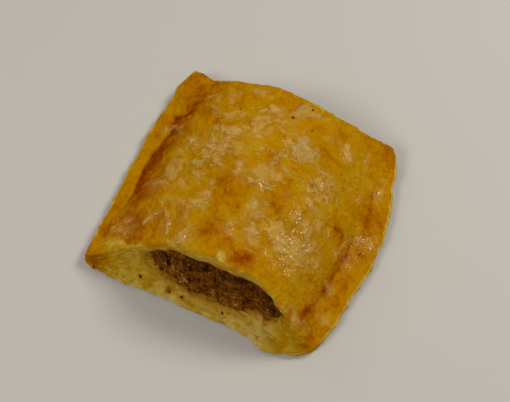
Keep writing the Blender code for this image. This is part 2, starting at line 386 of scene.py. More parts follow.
# %% Where the crust is folded
# Each crease: its points across and along, its depth and half width, how much wider it is on the
# side towards the dome, and how dark it is. A ridge has a depth below zero. All in millimetres.
CREASES = [
    ([(-43.6, 13), (-45.4, 9), (-46.4, 1), (-46, -6), (-44.6, -13), (-43.6, -16)],
     0.3, 0.6, 8.3, 0.97),
    ([(-46.2, 19.5), (-45.6, 22.5), (-43.2, 23.6), (-40, 25.5)], 0.4, 0.9, 2.2, 0.7),
    ([(42.9, 1), (42.9, -7), (42.2, -15), (41.1, -23), (39.7, -31), (38.2, -37)],
     0.2, 0.7, 1.8, 0.42),
    ([(33, -4), (35.4, -3.2), (38.6, -1.6), (40, -4.6)], 0.3, 0.6, 1, 0.45),
    ([(43.2, 27), (44, 18), (45.2, 10), (46.5, 3)], 0.4, 0.9, 1.4, 0.4),
    ([(-47, 33), (-42, 35), (-35, 34)], 0.4, 1.2, 1.6, 0.35),
    ([(-28.5, -32), (-27, -28.5), (-23.5, -25.3)], -1.1, 0.65, 0.8, 0),
    ([(-22, -26), (-19, -29.5), (-17, -34.5)], -1.1, 0.65, 0.8, 0),
    ([(-24.5, -27), (-23, -31), (-23, -36)], 0.7, 1.6, 1.6, 0.1),
    ([(20.5, 13), (24.5, 14), (27.5, 11), (28.6, 6.5)], -0.7, 0.8, 0.8, 0),
    ([(21, 6), (24, 3.6), (29, 3)], -0.7, 0.8, 0.8, 0),
    ([(-23.5, 4.6), (-20, 3.4), (-14, 2.6), (-9.5, 2.9), (-4.5, 4.8)], -0.5, 0.7, 2, 0),
    ([(-38.5, -12.6), (-34, -13.6), (-28.5, -14.2)], -0.6, 0.7, 1.2, 0),
    ([(9.3, 14.5), (7.6, 9.5), (6.3, 3)], -0.5, 0.8, 1.2, 0),
    ([(2, -24), (6, -22.3), (9, -21)], -0.5, 0.6, 0.6, 0),
    ([(-42, -36), (-36, -36.3), (-32, -36)], -0.5, 0.6, 0.8, 0),
    ([(44.2, -6), (44.4, -10), (43.9, -14)], -0.6, 0.6, 0.6, 0),
    ([(41, -31), (43, -35), (46, -35), (46.5, -31)], -0.3, 0.8, 0.8, 0),
    ([(15.5, 1), (18, -5), (17, -11)], 0.35, 0.8, 1.6, 0.2),
    ([(9.5, 20), (9, 10), (10.5, 0), (9, -9)], 0.3, 0.6, 1.6, 0.08),
    ([(5.4, -37.5), (6.4, -35.6), (8.2, -38)], -0.5, 0.8, 0.8, 0),
]
print("creases and ridges:", len(CREASES))

# %% Where it is browned, and where light is painted
# Each spot: its place across and along, its radius and how brown it is. A spot below zero is paler;
# the two at (28, -31) and (26, -23) are painted light, where it falls brightest.
BROWNED_AND_PAINTED_LIGHT = [
    (44, 41, 8, 0.22), (45, -41, 6, 0.26), (-46, -46.5, 4, 0.4), (-31, -36, 6, 0.18),
    (-13, -30, 7, 0.14), (48, -12, 4, 0.16), (43.5, 19, 5, 0.12), (-49, 46, 9, 0.36),
    (-36, 40, 7, 0.2), (-42, 31, 4.5, 0.35), (-37, 30, 4.5, 0.42), (-40, 22, 3, 0.25),
    (-45, 22, 2, 0.45), (-50, 12, 6, 0.2), (-28, 21, 3, 0.22), (-24, 17.6, 2.5, 0.3),
    (-19, 18, 2.5, 0.22), (-50, -14, 7, 0.12), (-45, -29, 8, 0.28), (-36, -30, 6, 0.2),
    (-35, -38.5, 3.5, 0.22), (-44, -37, 4, 0.25), (-28, -36, 4.5, 0.28), (-49, -45, 4, 0.15),
    (-36, -10, 6, 0.15), (-37, -20, 6, 0.18), (-6, 1, 4, 0.14), (4, 9, 4, 0.16), (-3, -8, 4, 0.26),
    (-3, -13, 4.5, 0.32), (1.3, -16.5, 1.6, 0.3), (-2, -26, 4.5, 0.28), (-1.5, -31, 4.5, 0.3),
    (6, -31, 3, 0.15), (12.5, -35.5, 4, 0.46), (15.5, -32, 3.5, 0.28), (15, -6, 2.5, 0.2),
    (16.5, -11, 2.5, 0.24), (18, -13, 2.5, 0.16), (36.5, -2, 2.5, 0.4), (22, 26, 4, 0.26),
    (23, 34.5, 3, 0.26), (28, 18, 3.5, 0.18), (22, 20, 3, 0.15), (2, 36, 6, 0.12),
    (42, 28, 2, 0.26), (43, 20, 1.6, 0.3), (43, 12, 4, 0.16), (48, 6, 2.6, 0.38), (50, 14, 4, 0.28),
    (47.5, -3.5, 1.8, 0.3), (43.2, -8, 2, 0.22), (43.2, -13, 2.4, 0.28), (47, -18, 3, 0.18),
    (45, -28, 3, 0.18), (41, -25, 2, 0.2), (38.5, -35, 2, 0.42), (46, 44, 7, 0.16),
    (22, -30, 4, 0.1), (-22, -16, 8, -0.14), (-31, -2, 7, -0.2), (-10, 36, 8, -0.06),
    (31, 26, 7, -0.1), (35, 20, 6, -0.08), (33, 8, 6, -0.12), (8, 28, 6, -0.12), (28, -31, 8, -0.1),
    (-40, -44, 6, -0.1), (33, -22, 5, -0.06), (26, -23, 5, -0.3), (-3, 13, 7, -0.24),
    (-19, 31, 5, 0.2), (-44, 38, 5, 0.14), (40, -37, 3, 0.16), (38, -41, 4, 0.22),
]
print("browned spots:", len(BROWNED_AND_PAINTED_LIGHT))

# %% Where it flakes, blisters and shines
# Each pale flake: its place across and along, its half sizes, how far it is turned in degrees, how
# olive it is, and how strongly it shows. Some entries are painted highlights and not flakes: the
# streaks along the ridges at (-13.5, 6.2) and (-32.5, -13.9), the glints at (-28.4, 7.8), (-26, 5.4)
# and (-37.5, -36), the bright spots at (-20.7, 3.8) and (-44.6, 18.2), and the bright patch at (25.5,
# -22).
PALE_FLAKES_AND_HIGHLIGHTS = [
    (13.5, 16.5, 4.2, 5.2, 0, 1, 0.95), (15.5, 18.2, 2, 2, 0, 0.4, 1),
    (7.8, 9, 1.2, 6, -15, 0.4, 0.8), (9.7, 9.5, 0.9, 1.3, 0, 0.2, 0.7),
    (12.8, 3.4, 2, 1.1, 0, 0.8, 0.8), (5.5, -0.5, 3.8, 3.2, 0, 0.3, 0.7),
    (3.5, 1.7, 1.3, 1.4, 0, 0.6, 0.8), (25.3, 13.2, 3.2, 0.9, -12, 0, 0.9),
    (28.4, 9, 0.8, 2.8, 8, 0, 0.8), (21.8, 13, 1.8, 1.2, 10, 0.2, 0.5),
    (22.3, 3.7, 1.3, 1.7, -30, 0.1, 0.7), (28.3, 3.3, 2.1, 0.8, -25, 0, 0.9),
    (25.5, -22, 4.6, 3.6, 0, 0.1, 1), (25.5, -2.8, 3.6, 1.9, -5, 0.2, 0.9),
    (28, 28.5, 2, 3, 8, 0, 0.95), (25.3, 28, 1, 0.7, 0, 0, 0.7),
    (19.2, 28.3, 1.6, 0.9, 40, 0.1, 0.8), (25.8, 24.3, 0.9, 1.5, 20, 0.1, 0.6),
    (35.2, 32.5, 0.8, 2.2, 0, 0.1, 0.7), (7.5, 34, 3.4, 4.6, 0, 0.9, 0.6),
    (12.5, 36, 1.9, 1.3, 30, 0.5, 0.7), (2.5, 26.5, 2.8, 1.5, 0, 0.1, 0.7),
    (5.5, 22, 3.6, 1.2, 0, 0.1, 0.7), (3.2, 31, 1.4, 0.7, 20, 0, 0.6),
    (11, 24.3, 0.9, 1.9, 15, 0.2, 0.7), (38.5, 17, 0.7, 1.7, -20, 0.1, 0.6),
    (34.8, 14.5, 0.8, 1, 0, 0.2, 0.6), (44.8, 23, 0.7, 2, 20, 0.1, 0.7),
    (45, 31, 0.8, 0.9, 0, 0.1, 0.8), (45.5, 1.4, 2.4, 1.4, 30, 0, 0.8),
    (50, 2.3, 1, 1.8, 20, 0, 0.8), (1, 8.5, 1.3, 1.1, 0, 0, 0.7),
    (-3.8, 29, 4.2, 2.1, 12, 0.1, 0.9), (-6.3, 22.5, 2.6, 2.7, 20, 0.2, 0.8),
    (-19.5, 21.6, 5.2, 1.6, 3, 0.1, 0.75), (-5.8, 15.5, 2.5, 2.6, 0, 0.1, 0.9),
    (-10.3, 15.4, 1.5, 1, 0, 0, 0.7), (-1.5, 18.5, 1.7, 3.4, 0, 0.4, 0.5),
    (-20.5, 12.8, 2.6, 1.8, 0, 0.6, 0.7), (-14, 12.4, 4.4, 2.1, -8, 0.2, 1),
    (-13.5, 6.2, 9, 3.2, 4, 0.2, 0.65), (-20.7, 3.8, 1.6, 0.8, 0, 0, 1),
    (-28.4, 7.8, 1.1, 2.3, 30, 0.2, 0.8), (-26, 5.4, 0.8, 2.4, 30, 0.3, 0.9),
    (-17.6, -0.7, 3, 2.2, 0, 0.4, 0.8), (-30.8, 0.6, 1.6, 2.2, 20, 0.5, 0.4),
    (-29.2, -4.6, 2, 1.8, -10, 0.4, 0.35), (-26.3, 24.5, 1, 3.2, 25, 0.3, 0.5),
    (-22.3, 31.2, 1.5, 3, 30, 0.4, 0.5), (-33.4, 33.3, 1.8, 0.9, -30, 0.6, 0.7),
    (-29.5, 30.5, 1.2, 2.2, 30, 0.5, 0.5), (-44.6, 18.2, 1.5, 0.7, -30, 0, 0.9),
    (-39.5, 15, 1, 2.2, 25, 0.1, 0.5), (-46.5, 14.7, 1.3, 0.9, 0, 0.8, 0.7),
    (-13, 36.8, 2.5, 1.7, 0, 0.6, 0.6), (-19.5, -4.9, 3.2, 1.4, 15, 0.4, 0.9),
    (-16.2, -8.8, 2.6, 1.6, -10, 0.2, 0.9), (-14.5, -11.4, 1.3, 0.8, -20, 0, 0.9),
    (-21.7, -12.6, 2.2, 1.8, 20, 0.2, 0.7), (-13, -3.5, 2.7, 0.9, -8, 0.1, 0.75),
    (-2.4, -2.3, 2.2, 1.8, -20, 0.1, 1), (-9, -11.7, 1.5, 1.8, -30, 0.2, 0.7),
    (-10.8, -16.6, 1.7, 2.1, 20, 0.2, 0.7), (-11.2, -21, 4, 2.5, -10, 0.2, 0.8),
    (-32.5, -13.9, 4.6, 1, -12, 0.5, 0.9), (-29.4, -7.4, 2.2, 3.6, 10, 0.5, 0.6),
    (-25.1, -21, 1.4, 0.8, -35, 0.3, 0.8), (-18.3, -22.6, 0.8, 1.5, 25, 0.1, 0.9),
    (-22, -22.4, 0.9, 1.2, 20, 0, 0.6), (-9.4, -33.3, 2.4, 2.4, 0, 0.1, 0.8),
    (-11.6, -36.2, 3.4, 0.8, 5, 0, 0.8), (-13.5, -25.5, 1, 2.8, 30, 0.3, 0.5),
    (-37.5, -36, 3.4, 0.7, -5, 0, 0.6), (-28.7, -27, 1, 0.6, -20, 0, 0.7),
    (3, -5, 2.8, 1.8, 10, 0.3, 0.8), (7.4, -6.1, 2.2, 0.7, 18, 0.8, 1),
    (7, -12.4, 1.7, 2.4, 10, 0.4, 1), (11.4, -11, 1.8, 1.6, 0, 1, 0.6),
    (5.8, -17.5, 1.4, 2.4, 0, 0.4, 0.8), (10, -17, 2, 1.8, 0, 0.3, 0.6),
    (11.7, -24.4, 3.3, 4.4, 8, 0.3, 0.9), (22.4, -10.6, 0.9, 2.8, 30, 0, 0.9),
    (27.5, -10.5, 2.6, 4.2, -20, 0.3, 0.55), (21.9, -19, 0.8, 2.4, 25, 0, 0.9),
    (25, -23, 3.4, 2.9, 10, 0.1, 0.85), (22.9, -28.3, 1.6, 0.8, 5, 0, 0.9),
    (29.8, -25.5, 0.6, 3, -40, 0.1, 0.6), (31.2, -16.4, 2.2, 1.9, 20, 0.2, 0.6),
    (34.6, -19, 0.7, 2.3, -45, 0.1, 0.6), (5.5, -27.7, 2, 0.8, -10, 0, 0.9),
    (2.8, -26, 0.8, 1.1, 0, 0, 0.9), (5.5, -22.4, 1, 0.4, 15, 0, 0.9), (41, -3, 1, 2, 0, 0.1, 0.55),
    (39.5, -8, 0.9, 1.7, 0, 0.1, 0.6), (44.3, -9.5, 0.5, 2.8, 5, 0, 0.6),
    (42.8, -21.8, 0.6, 0.8, 0, 0.1, 0.9), (36, -40.2, 4.2, 1.5, 0, 0.8, 0.6),
    (44.5, -33, 2.2, 2.4, 0, 0.1, 0.35), (16.3, -15, 1, 0.7, 20, 0, 0.6),
    (34, -7.2, 0.8, 1.2, 0, 0, 0.6), (18, -4, 1.2, 0.8, 0, 0, 0.5),
]
# Each blistered field: its place across and along, its radius and how blistered it is.
BLISTERED = [
    (-14, 8, 12, 0.8), (-6, 25, 9, 0.7), (12, 14, 9, 0.8), (-18, -3, 9, 0.7), (8, -3, 8, 0.8),
    (10, -22, 8, 0.6), (25, -20, 10, 0.8), (26, 6, 8, 0.7), (26, 28, 7, 0.4), (-12, -20, 8, 0.5),
    (36, -6, 6, 0.4), (8, 35, 7, 0.6), (47, 0, 5, 0.5), (-35, -33, 6, 0.5), (-8, -34, 6, 0.4),
]
# Where the film of egg is thick and shines: its place across and along, its radius, how glossy.
GLOSSY = [
    (-37, -33, 4.5, 0.75), (-27, 7, 3.5, 0.9), (-9.5, -34, 4, 0.9), (25, 3, 3.5, 0.9),
    (27, 10, 3.5, 0.9), (22.5, -11, 3, 0.9), (26, -22, 6.5, 1.2), (29, -25, 4, 0.5),
    (46, 1, 3.5, 1), (50, 2, 2.5, 1), (-25.5, -28, 2.5, 1.2), (-18.5, -30, 3, 1.2),
    (-44.5, 18, 2.5, 0.7), (-14, 4, 4, 0.5), (30, -13, 5, 0.4), (44, -9, 2.5, 0.7),
    (-20.5, 4, 2.5, 0.7), (28, 28, 3, 0.4), (3, -26, 3, 0.7), (7.5, -6, 2.5, 0.6),
    (42, -22, 2, 0.8), (40, -30, 2, 0.7), (35, 33, 2, 0.6), (45, 24, 2.5, 0.6), (-33, -14, 3, 0.5),
    (-18, -22, 2.5, 0.6),
]
print("flakes:", len(PALE_FLAKES_AND_HIGHLIGHTS), "blistered fields:", len(BLISTERED), "glossy places:", len(GLOSSY))

# %% Spots on the cut ends
# The lowest leaf sticks out at the front right. Its place, radius and reach, in millimetres.
LIP = [(30, -50, 5, 1.7), (38, -48, 5.5, 1.2), (-10, -50, 4, 0.4)]
TORN_OFF = 25.5 * MM  # to the left of this the lip is torn off
# Where the egg has run over the cut ends: its place across and along, its radius, how strongly.
WASHED = [
    (-46.5, -46.5, 5.5, 1.6), (37, -40, 5, 0.6), (10, -38.5, 3, 0.35), (-18, -39, 6, 0.3),
    (-6, -38.5, 6, 0.35), (20, -39, 5, 0.35), (25, -47, 3.5, -0.6), (-38, -47, 8, 0.55),
    (-25, -47, 8, 0.35), (36, -50, 8, 0.5), (46, -45, 5, 0.5), (36, 49, 10, 0.6), (-20, 48, 9, 0.4),
    (-50, 45, 8, 0.6),
]
# Where juice has run out under the meat: place across and along, radius, strength.
JUICE = [
    (-19.8, -46.6, 1.8, 0.4), (-12.5, -46.6, 1.1, 1), (-10.5, -44.5, 2.4, 0.6),
    (-6.5, -46.6, 1.1, 1.2), (2.2, -44.7, 2, 0.6), (-14.3, -42.9, 2.2, 1), (12.7, -45, 1.3, 0.7),
    (26.4, -42.8, 2.2, 1.4), (20.9, -45, 1.8, 0.6), (-39.9, -47.4, 2.5, 0.5), (-45, -48.5, 3, 0.6),
    (-23.7, -46.3, 0.9, 0.6),
]
# Where the skin is torn away and shows the dough: its place across and along, its radius, how much.
TORN = [
    (-42, -43.5, 3, 0.9), (-37, -43, 3.2, 0.9), (-32, -41.5, 3.2, 0.8), (-26, -40.5, 2.6, 0.6),
    (6.2, -36.6, 1.3, 0.8), (7.6, -38.4, 2.2, 0.8), (-14, -39.5, 2.2, 0.5), (33, -41.5, 3, 0.45),
    (39, -43.5, 3, 0.6), (8.5, 42.2, 2.4, 0.9), (12.5, 41.8, 2, 0.8), (30, -47.6, 2, -0.8),
    (35, -47.3, 2.2, -0.9), (40, -46.5, 2.4, -1), (44.5, -45, 2.5, -1), (-47.5, -47, 3.5, -0.9),
    (-30, 44, 4, 0.4), (30, 43.5, 3, 0.4),
]
print("spots on the cuts:", sum(len(spots) for spots in (LIP, WASHED, JUICE, TORN)))


# %% From spots to numbers
def soft_spots(places, spots):
    """The sum of round soft spots, each given by place, radius and strength, in millimetres."""
    total = np.zeros(len(places))
    for x, y, radius, strength in spots:
        squared = (places[:, 0] / MM - x) ** 2 + (places[:, 1] / MM - y) ** 2
        total += strength * np.exp(-squared / radius**2)
    return total


def crease_profile(places, points, half_width, soft_width):
    """How near each place is to the line of a crease, from 0 to 1, with a width for each side."""
    x, y = places[:, 0] / MM, places[:, 1] / MM
    best = np.full(len(places), np.inf)
    side = np.zeros(len(places))
    for (x0, y0), (x1, y1) in zip(points, points[1:]):
        length = math.hypot(x1 - x0, y1 - y0)
        along = np.clip(((x - x0) * (x1 - x0) + (y - y0) * (y1 - y0)) / length**2, 0, 1)
        away = np.hypot(x - x0 - along * (x1 - x0), y - y0 - along * (y1 - y0))
        nearer = away < best
        best = np.where(nearer, away, best)
        side = np.where(nearer, x - x0 - along * (x1 - x0), side)
    towards_dome = side * -np.sign(points[0][0]) > 0
    width = np.where(towards_dome, soft_width, half_width)
    return np.exp(-((best / width) ** 1.5))


def nearest_flake(places, flakes):
    """How many millimetres each place lies inside its flake, how olive that is, how it shows."""
    best = np.full(len(places), -1.0)
    olive = np.zeros(len(places))
    shows = np.zeros(len(places))
    for x, y, half_across, half_along, turned, green, strength in flakes:
        across, along = places[:, 0] / MM - x, places[:, 1] / MM - y
        cosine, sine = math.cos(math.radians(turned)), math.sin(math.radians(turned))
        away = np.hypot((across * cosine + along * sine) / half_across,
                        (along * cosine - across * sine) / half_along)
        level = (1 - away) * min(half_across, half_along)
        olive = np.where(level > best, green, olive)
        shows = np.where(level > best, strength, shows)
        best = np.maximum(best, level)
    return best, olive, shows


def wandered(places, size, reach):
    """The same places, moved in plan by noise, so that what is drawn there loses its outline."""
    moved = places.copy()
    for number, place in enumerate(places):
        at = Vector(place) / size
        moved[number, 0] += reach * smooth_noise(at)
        moved[number, 1] += reach * smooth_noise(at + Vector((31, 17, 5)))
    return moved


def store(mesh, name, values):
    """Stores a number per vertex under a name."""
    layer = mesh.attributes.get(name) or mesh.attributes.new(name, "FLOAT", "POINT")
    layer.data.foreach_set("value", np.asarray(values, dtype=np.float32))


# %% [markdown]
# Some numbers have to be known for each vertex, such as which part of the case it is on, how far it
# is from the meat and how deep below the skin it lies, which the layers of a cut follow. The
# folds, the lip, the ragged mouths and the sag are made here. The browned spots and the flakes are
# read at places that noise has moved, so that none of them keeps a round outline.

# %% Numbers on the pastry
WANDER = ((6 * MM, 3 * MM), (2.2 * MM, 1.3 * MM))  # size and reach of each noise
FOOT_HEIGHT, FOOT_BLEND = 4.5 * MM, 1.2 * MM  # the lip is below this
MOUTH_WIDTH = 1.6 * MM  # how far from the meat its ragged mouth moves the dough
# Beside the meat the dough is darker: juice soaked into it, and painted shade where the meat meets it.
STAIN_AND_SHADE_WIDTH = 3.3 * MM  # how far its juice has soaked into the dough

places = vertex_places(pastry.data)
parts = vertex_parts(pastry.data)
touching = np.array([filling_surface.find_nearest(Vector(place))[3] for place in places])
skin_faces = [i for i, part in enumerate(part_of_face) if part in ("crust", "base")]
skin_surface = surface_tree(case_cad, skin_faces)
depth = np.array([skin_surface.find_nearest(Vector(place))[3] for place in places])
crust = spread(pastry.data, parts["crust"], 2)
cut = spread(pastry.data, parts["cut"] + parts["side"], 1)

# The crest of each ridge is kept, so that the finish can paint it pale as a painted highlight.
crease, crest, sinking = np.zeros((3, len(places)))
for points, deep, half_width, soft_width, dark in CREASES:
    profile = crease_profile(places, points, half_width, soft_width)
    crease = np.maximum(crease, dark * profile)
    crest = np.maximum(crest, -deep * profile**2)
    sinking += deep * MM * profile**2
places[:, 2] -= sinking * crust
low = np.clip((FOOT_HEIGHT - places[:, 2]) / FOOT_BLEND, 0, 1) * cut
torn_off = np.clip(3 * ((places[:, 0] - TORN_OFF) / MM + np.sin(places[:, 2] / (0.7 * MM))), 0, 1)
lip = soft_spots(places, LIP) * np.where(places[:, 0] > 15 * MM, torn_off, 1.0)
places[:, 1] -= MM * lip * low
places = sag(ragged_mouth(places, np.exp(-(touching / MOUTH_WIDTH) ** 2)))
move_vertices(pastry.data, places)

wandering = places
for size, reach in WANDER:
    wandering = wandered(wandering, size, reach)
juice = soft_spots(wandered(places, *WANDER[1]), JUICE) * cut
flake, olive, shows = nearest_flake(wandering, PALE_FLAKES_AND_HIGHLIGHTS)
for name, values in {
    "crust": crust,
    "cut": cut,
    "inner": spread(pastry.data, parts["cut"] + parts["side"] + parts["tunnel"], 1),
    "base": spread(pastry.data, parts["base"], 1),
    "depth": depth,
    "crease": crease * crust,
    "crest": np.clip(crest, 0, 1) * crust,
    "browned": soft_spots(wandering, BROWNED_AND_PAINTED_LIGHT),
    "blistered": np.clip(soft_spots(places, BLISTERED), 0, 1),
    "washed": soft_spots(places, WASHED),
    "torn": soft_spots(wandering, TORN),
    "juice_stain_and_shade": np.maximum(np.exp(-touching / STAIN_AND_SHADE_WIDTH), juice),
    "glossy": soft_spots(places, GLOSSY),
    "flake": flake,
    "olive": olive,
    "shows": shows,
}.items():
    store(pastry.data, name, values)
print("deepest crease, mm:", round(sinking.max() / MM, 2))
print("deepest place on a cut, mm:", round(depth[cut > 0.5].max() / MM, 1))

# %% [markdown]
# The skin of baked puff pastry is not one surface. Thin plates of it have dried, cracked, lifted
# and overlapped, and each plate ends in a small step. A noise cut off at a level gives such plates,
# with a sharp but wandering rim, and the level falls where the crust is blistered, so that more of
# it stands up there. The larger flakes of the list get a rim that another noise makes uneven.
# Geometry Nodes does this well, because it moves every vertex at once and keeps each pattern as an
# attribute, so that the finish can colour just what has lifted. The same tree tears the rim of the
# cut ends, waves their foot and raises their layers, which follow the depth below the skin.

# %% A tree with named numbers
def new_tree(name, settings):
    """A Geometry Nodes tree with a geometry in and out, and one named number for each setting."""
    tree = bpy.data.node_groups.new(name, "GeometryNodeTree")
    tree.interface.new_socket("Geometry", in_out="INPUT", socket_type="NodeSocketGeometry")
    tree.interface.new_socket("Geometry", in_out="OUTPUT", socket_type="NodeSocketGeometry")
    for label, value in settings.items():
        kind = "NodeSocketInt" if isinstance(value, int) else "NodeSocketFloat"
        tree.interface.new_socket(label, in_out="INPUT", socket_type=kind)
    return tree, add(tree, "NodeGroupInput"), add(tree, "NodeGroupOutput")


def run_tree(piece, tree, settings):
    """Runs a tree on a piece with these settings, and keeps the result as plain mesh."""
    modifier = piece.modifiers.new(tree.name, "NODES")
    modifier.node_group = tree
    for item in tree.interface.items_tree:
        if item.in_out == "INPUT" and item.name in settings:
            modifier[item.identifier] = settings[item.name]
    settle(piece)


# %% Relief of the crust and the cut layers
RELIEF = {
    "lump size": 9 * MM,
    "lump height": 2.8 * MM,
    "wrinkle size": 3.2 * MM,
    "wrinkle height": 1.45 * MM,
    "plate size": 4.0 * MM,
    "plate step": 0.20 * MM,
    "crack depth": 0.16 * MM,
    "flake step": 0.30 * MM,
    "rim height": 0.9 * MM,
    "wave size": 8.0 * MM,
    "wave height": 5.0 * MM,
    "layer spacing": 1.7 * MM,
    "layer height": 0.45 * MM,
}
RIM_UNEVENNESS = 4.6  # how far noise moves the rim of a flake, in millimetres for a full swing


def lumps_and_wrinkles(tree, given, place, per_size):
    """The height of broad lumps and fine wrinkles, over the whole crust."""
    height = 0.0
    for name, detail, roughness, distortion in (("lump", 2.0, 0.5, 0.3), ("wrinkle", 4.0, 0.6, 1.2)):
        noise = add(tree, "ShaderNodeTexNoise", {
            "Vector": place, "Scale": per_size[name + " size"], "Detail": detail,
            "Roughness": roughness, "Distortion": distortion})
        centred = add(tree, "ShaderNodeMath", {0: noise, 1: 0.5}, operation="SUBTRACT")
        height = add(tree, "ShaderNodeMath", {
            0: centred, 1: given.outputs[name + " height"], 2: height}, operation="MULTIPLY_ADD")
    return height


def plates_and_cracks(tree, place, masks, per_size):
    """Small plates, longer across the roll, have lifted. Fine cracks wander between them."""
    across = add(tree, "ShaderNodeVectorMath", {0: place, 1: (0.62, 1.0, 1.0)}, operation="MULTIPLY")
    grown = add(tree, "ShaderNodeTexNoise", {
        "Vector": across, "W": 3.7, "Scale": per_size["plate size"], "Detail": 2.5,
        "Roughness": 0.55, "Distortion": 0.8}, noise_dimensions="4D")
    plate = add(tree, "ShaderNodeMath", {
        0: masks["blistered"], 1: 0.30, 2: grown}, operation="MULTIPLY_ADD")
    plate = add(tree, "ShaderNodeMath", {0: plate, 1: 0.72}, operation="SUBTRACT")
    torn = add(tree, "ShaderNodeTexNoise", {
        "Vector": across, "W": 8.2, "Scale": per_size["plate size"], "Detail": 2.5,
        "Roughness": 0.6, "Distortion": 1.5}, noise_dimensions="4D")
    torn = add(tree, "ShaderNodeMath", {0: torn, 1: 0.5}, operation="SUBTRACT")
    torn = add(tree, "ShaderNodeMath", {0: torn}, operation="ABSOLUTE")
    crack = add(tree, "ShaderNodeMapRange", {"Value": torn, 1: 0.022, 2: 0.0})
    crack = add(tree, "ShaderNodeMath", {0: crack, 1: masks["blistered"]}, operation="MULTIPLY")
    return plate, crack


def listed_flakes(tree, place, masks):
    """The large flakes of the list, with an uneven rim."""
    bend = add(tree, "ShaderNodeTexNoise", {
        "Vector": place, "Scale": 1 / (2.6 * MM), "Detail": 3.0, "Roughness": 0.62})
    uneven = add(tree, "ShaderNodeMath", {0: bend, 1: 0.5}, operation="SUBTRACT")
    return add(tree, "ShaderNodeMath", {
        0: uneven, 1: RIM_UNEVENNESS, 2: masks["flake"]}, operation="MULTIPLY_ADD")


# %% Relief of the cuts
def torn_rim(tree, given, place, masks, height):
    """The rim between the crust and a cut is torn: it stands up and sinks by turns."""
    half_cut = add(tree, "ShaderNodeMath", {0: masks["cut"], 1: 0.5}, operation="SUBTRACT")
    half_cut = add(tree, "ShaderNodeMath", {0: half_cut}, operation="ABSOLUTE")
    on_rim = add(tree, "ShaderNodeMapRange", {"Value": half_cut, 1: 0.5, 2: 0.1})
    jagged = add(tree, "ShaderNodeTexNoise", {"Vector": place, "Scale": 1 / (2.6 * MM), "Detail": 2.0})
    jagged = add(tree, "ShaderNodeMath", {0: jagged, 1: 0.47}, operation="SUBTRACT")
    jagged = add(tree, "ShaderNodeMath", {0: jagged, 1: on_rim}, operation="MULTIPLY")
    return add(tree, "ShaderNodeMath", {
        0: jagged, 1: given.outputs["rim height"], 2: height}, operation="MULTIPLY_ADD")


def wavy_foot(tree, given, place, masks, per_size, height):
    """The foot of each cut runs in waves."""
    above_base = add(tree, "ShaderNodeSeparateXYZ", {0: place}).outputs[2]
    foot = add(tree, "ShaderNodeMapRange", {"Value": above_base, 1: 8 * MM, 2: 2 * MM})
    foot = add(tree, "ShaderNodeMath", {0: foot, 1: masks["cut"]}, operation="MULTIPLY")
    wave = add(tree, "ShaderNodeTexNoise", {
        "Vector": place, "Scale": per_size["wave size"], "Detail": 2.0})
    wave = add(tree, "ShaderNodeMath", {0: wave, 1: 0.5}, operation="SUBTRACT")
    wave = add(tree, "ShaderNodeMath", {0: wave, 1: foot}, operation="MULTIPLY")
    return add(tree, "ShaderNodeMath", {
        0: wave, 1: given.outputs["wave height"], 2: height}, operation="MULTIPLY_ADD")


def cut_layers(tree, given, place, masks, per_size, height):
    """Layers on the cut ends and the sealed edges."""
    noise = add(tree, "ShaderNodeTexNoise", {"Vector": place, "Scale": 1 / (7 * MM), "Detail": 3.0})
    layer = add(tree, "ShaderNodeMath", {
        0: masks["depth"], 1: per_size["layer spacing"]}, operation="MULTIPLY")
    layer = add(tree, "ShaderNodeMath", {0: noise, 1: 3.0, 2: layer}, operation="MULTIPLY_ADD")
    layer = add(tree, "ShaderNodeMath", {0: layer, 1: 1.0}, operation="PINGPONG")
    patchy = add(tree, "ShaderNodeTexNoise", {"Vector": place, "Scale": 1 / (5 * MM), "Detail": 2.0})
    ragged = add(tree, "ShaderNodeMapRange", {"Value": patchy, 1: 0.35, 2: 0.7})
    layer = chain(tree, "MULTIPLY", layer, ragged, given.outputs["layer height"], masks["cut"])
    return add(tree, "ShaderNodeMath", {0: height, 1: layer})


# %% The whole relief
def relief_tree():
    tree, given, out = new_tree("crust relief", RELIEF)
    place = add(tree, "GeometryNodeInputPosition")
    normal = add(tree, "GeometryNodeInputNormal")
    masks, per_size = {}, {}
    for name in ("crust", "cut", "depth", "blistered", "flake"):
        masks[name] = add(tree, "GeometryNodeInputNamedAttribute", {"Name": name})
    for name in ("lump size", "wrinkle size", "plate size", "wave size", "layer spacing"):
        per_size[name] = add(tree, "ShaderNodeMath", {
            0: 1.0, 1: given.outputs[name]}, operation="DIVIDE")

    height = lumps_and_wrinkles(tree, given, place, per_size)
    plate, crack = plates_and_cracks(tree, place, masks, per_size)
    flake = listed_flakes(tree, place, masks)
    geometry = given.outputs["Geometry"]
    for name, value, step, full, sign in (("plate", plate, "plate step", 0.06, 1),
                                          ("crack", crack, "crack depth", 1.0, -1),
                                          ("flake", flake, "flake step", 0.6, 1)):
        risen = add(tree, "ShaderNodeMapRange", {
            "Value": value, 1: 0.0, 2: full}, interpolation_type="SMOOTHSTEP")
        rise = add(tree, "ShaderNodeMath", {0: risen, 1: given.outputs[step]}, operation="MULTIPLY")
        height = add(tree, "ShaderNodeMath", {
            0: rise, 1: sign, 2: height}, operation="MULTIPLY_ADD")
        geometry = add(tree, "GeometryNodeStoreNamedAttribute", {
            "Geometry": geometry, "Name": name, "Value": value})
    height = add(tree, "ShaderNodeMath", {0: height, 1: masks["crust"]}, operation="MULTIPLY")

    height = torn_rim(tree, given, place, masks, height)
    height = wavy_foot(tree, given, place, masks, per_size, height)
    height = cut_layers(tree, given, place, masks, per_size, height)
    offset = add(tree, "ShaderNodeVectorMath", {0: normal, "Scale": height}, operation="SCALE")
    moved = add(tree, "GeometryNodeSetPosition", {"Geometry": geometry, "Offset": offset})
    plain = add(tree, "GeometryNodeRealizeInstances", {"Geometry": moved})
    dressed = add(tree, "GeometryNodeSetMaterial", {"Geometry": plain, "Material": puff_pastry})
    set_inputs(out, {"Geometry": dressed})
    return tree
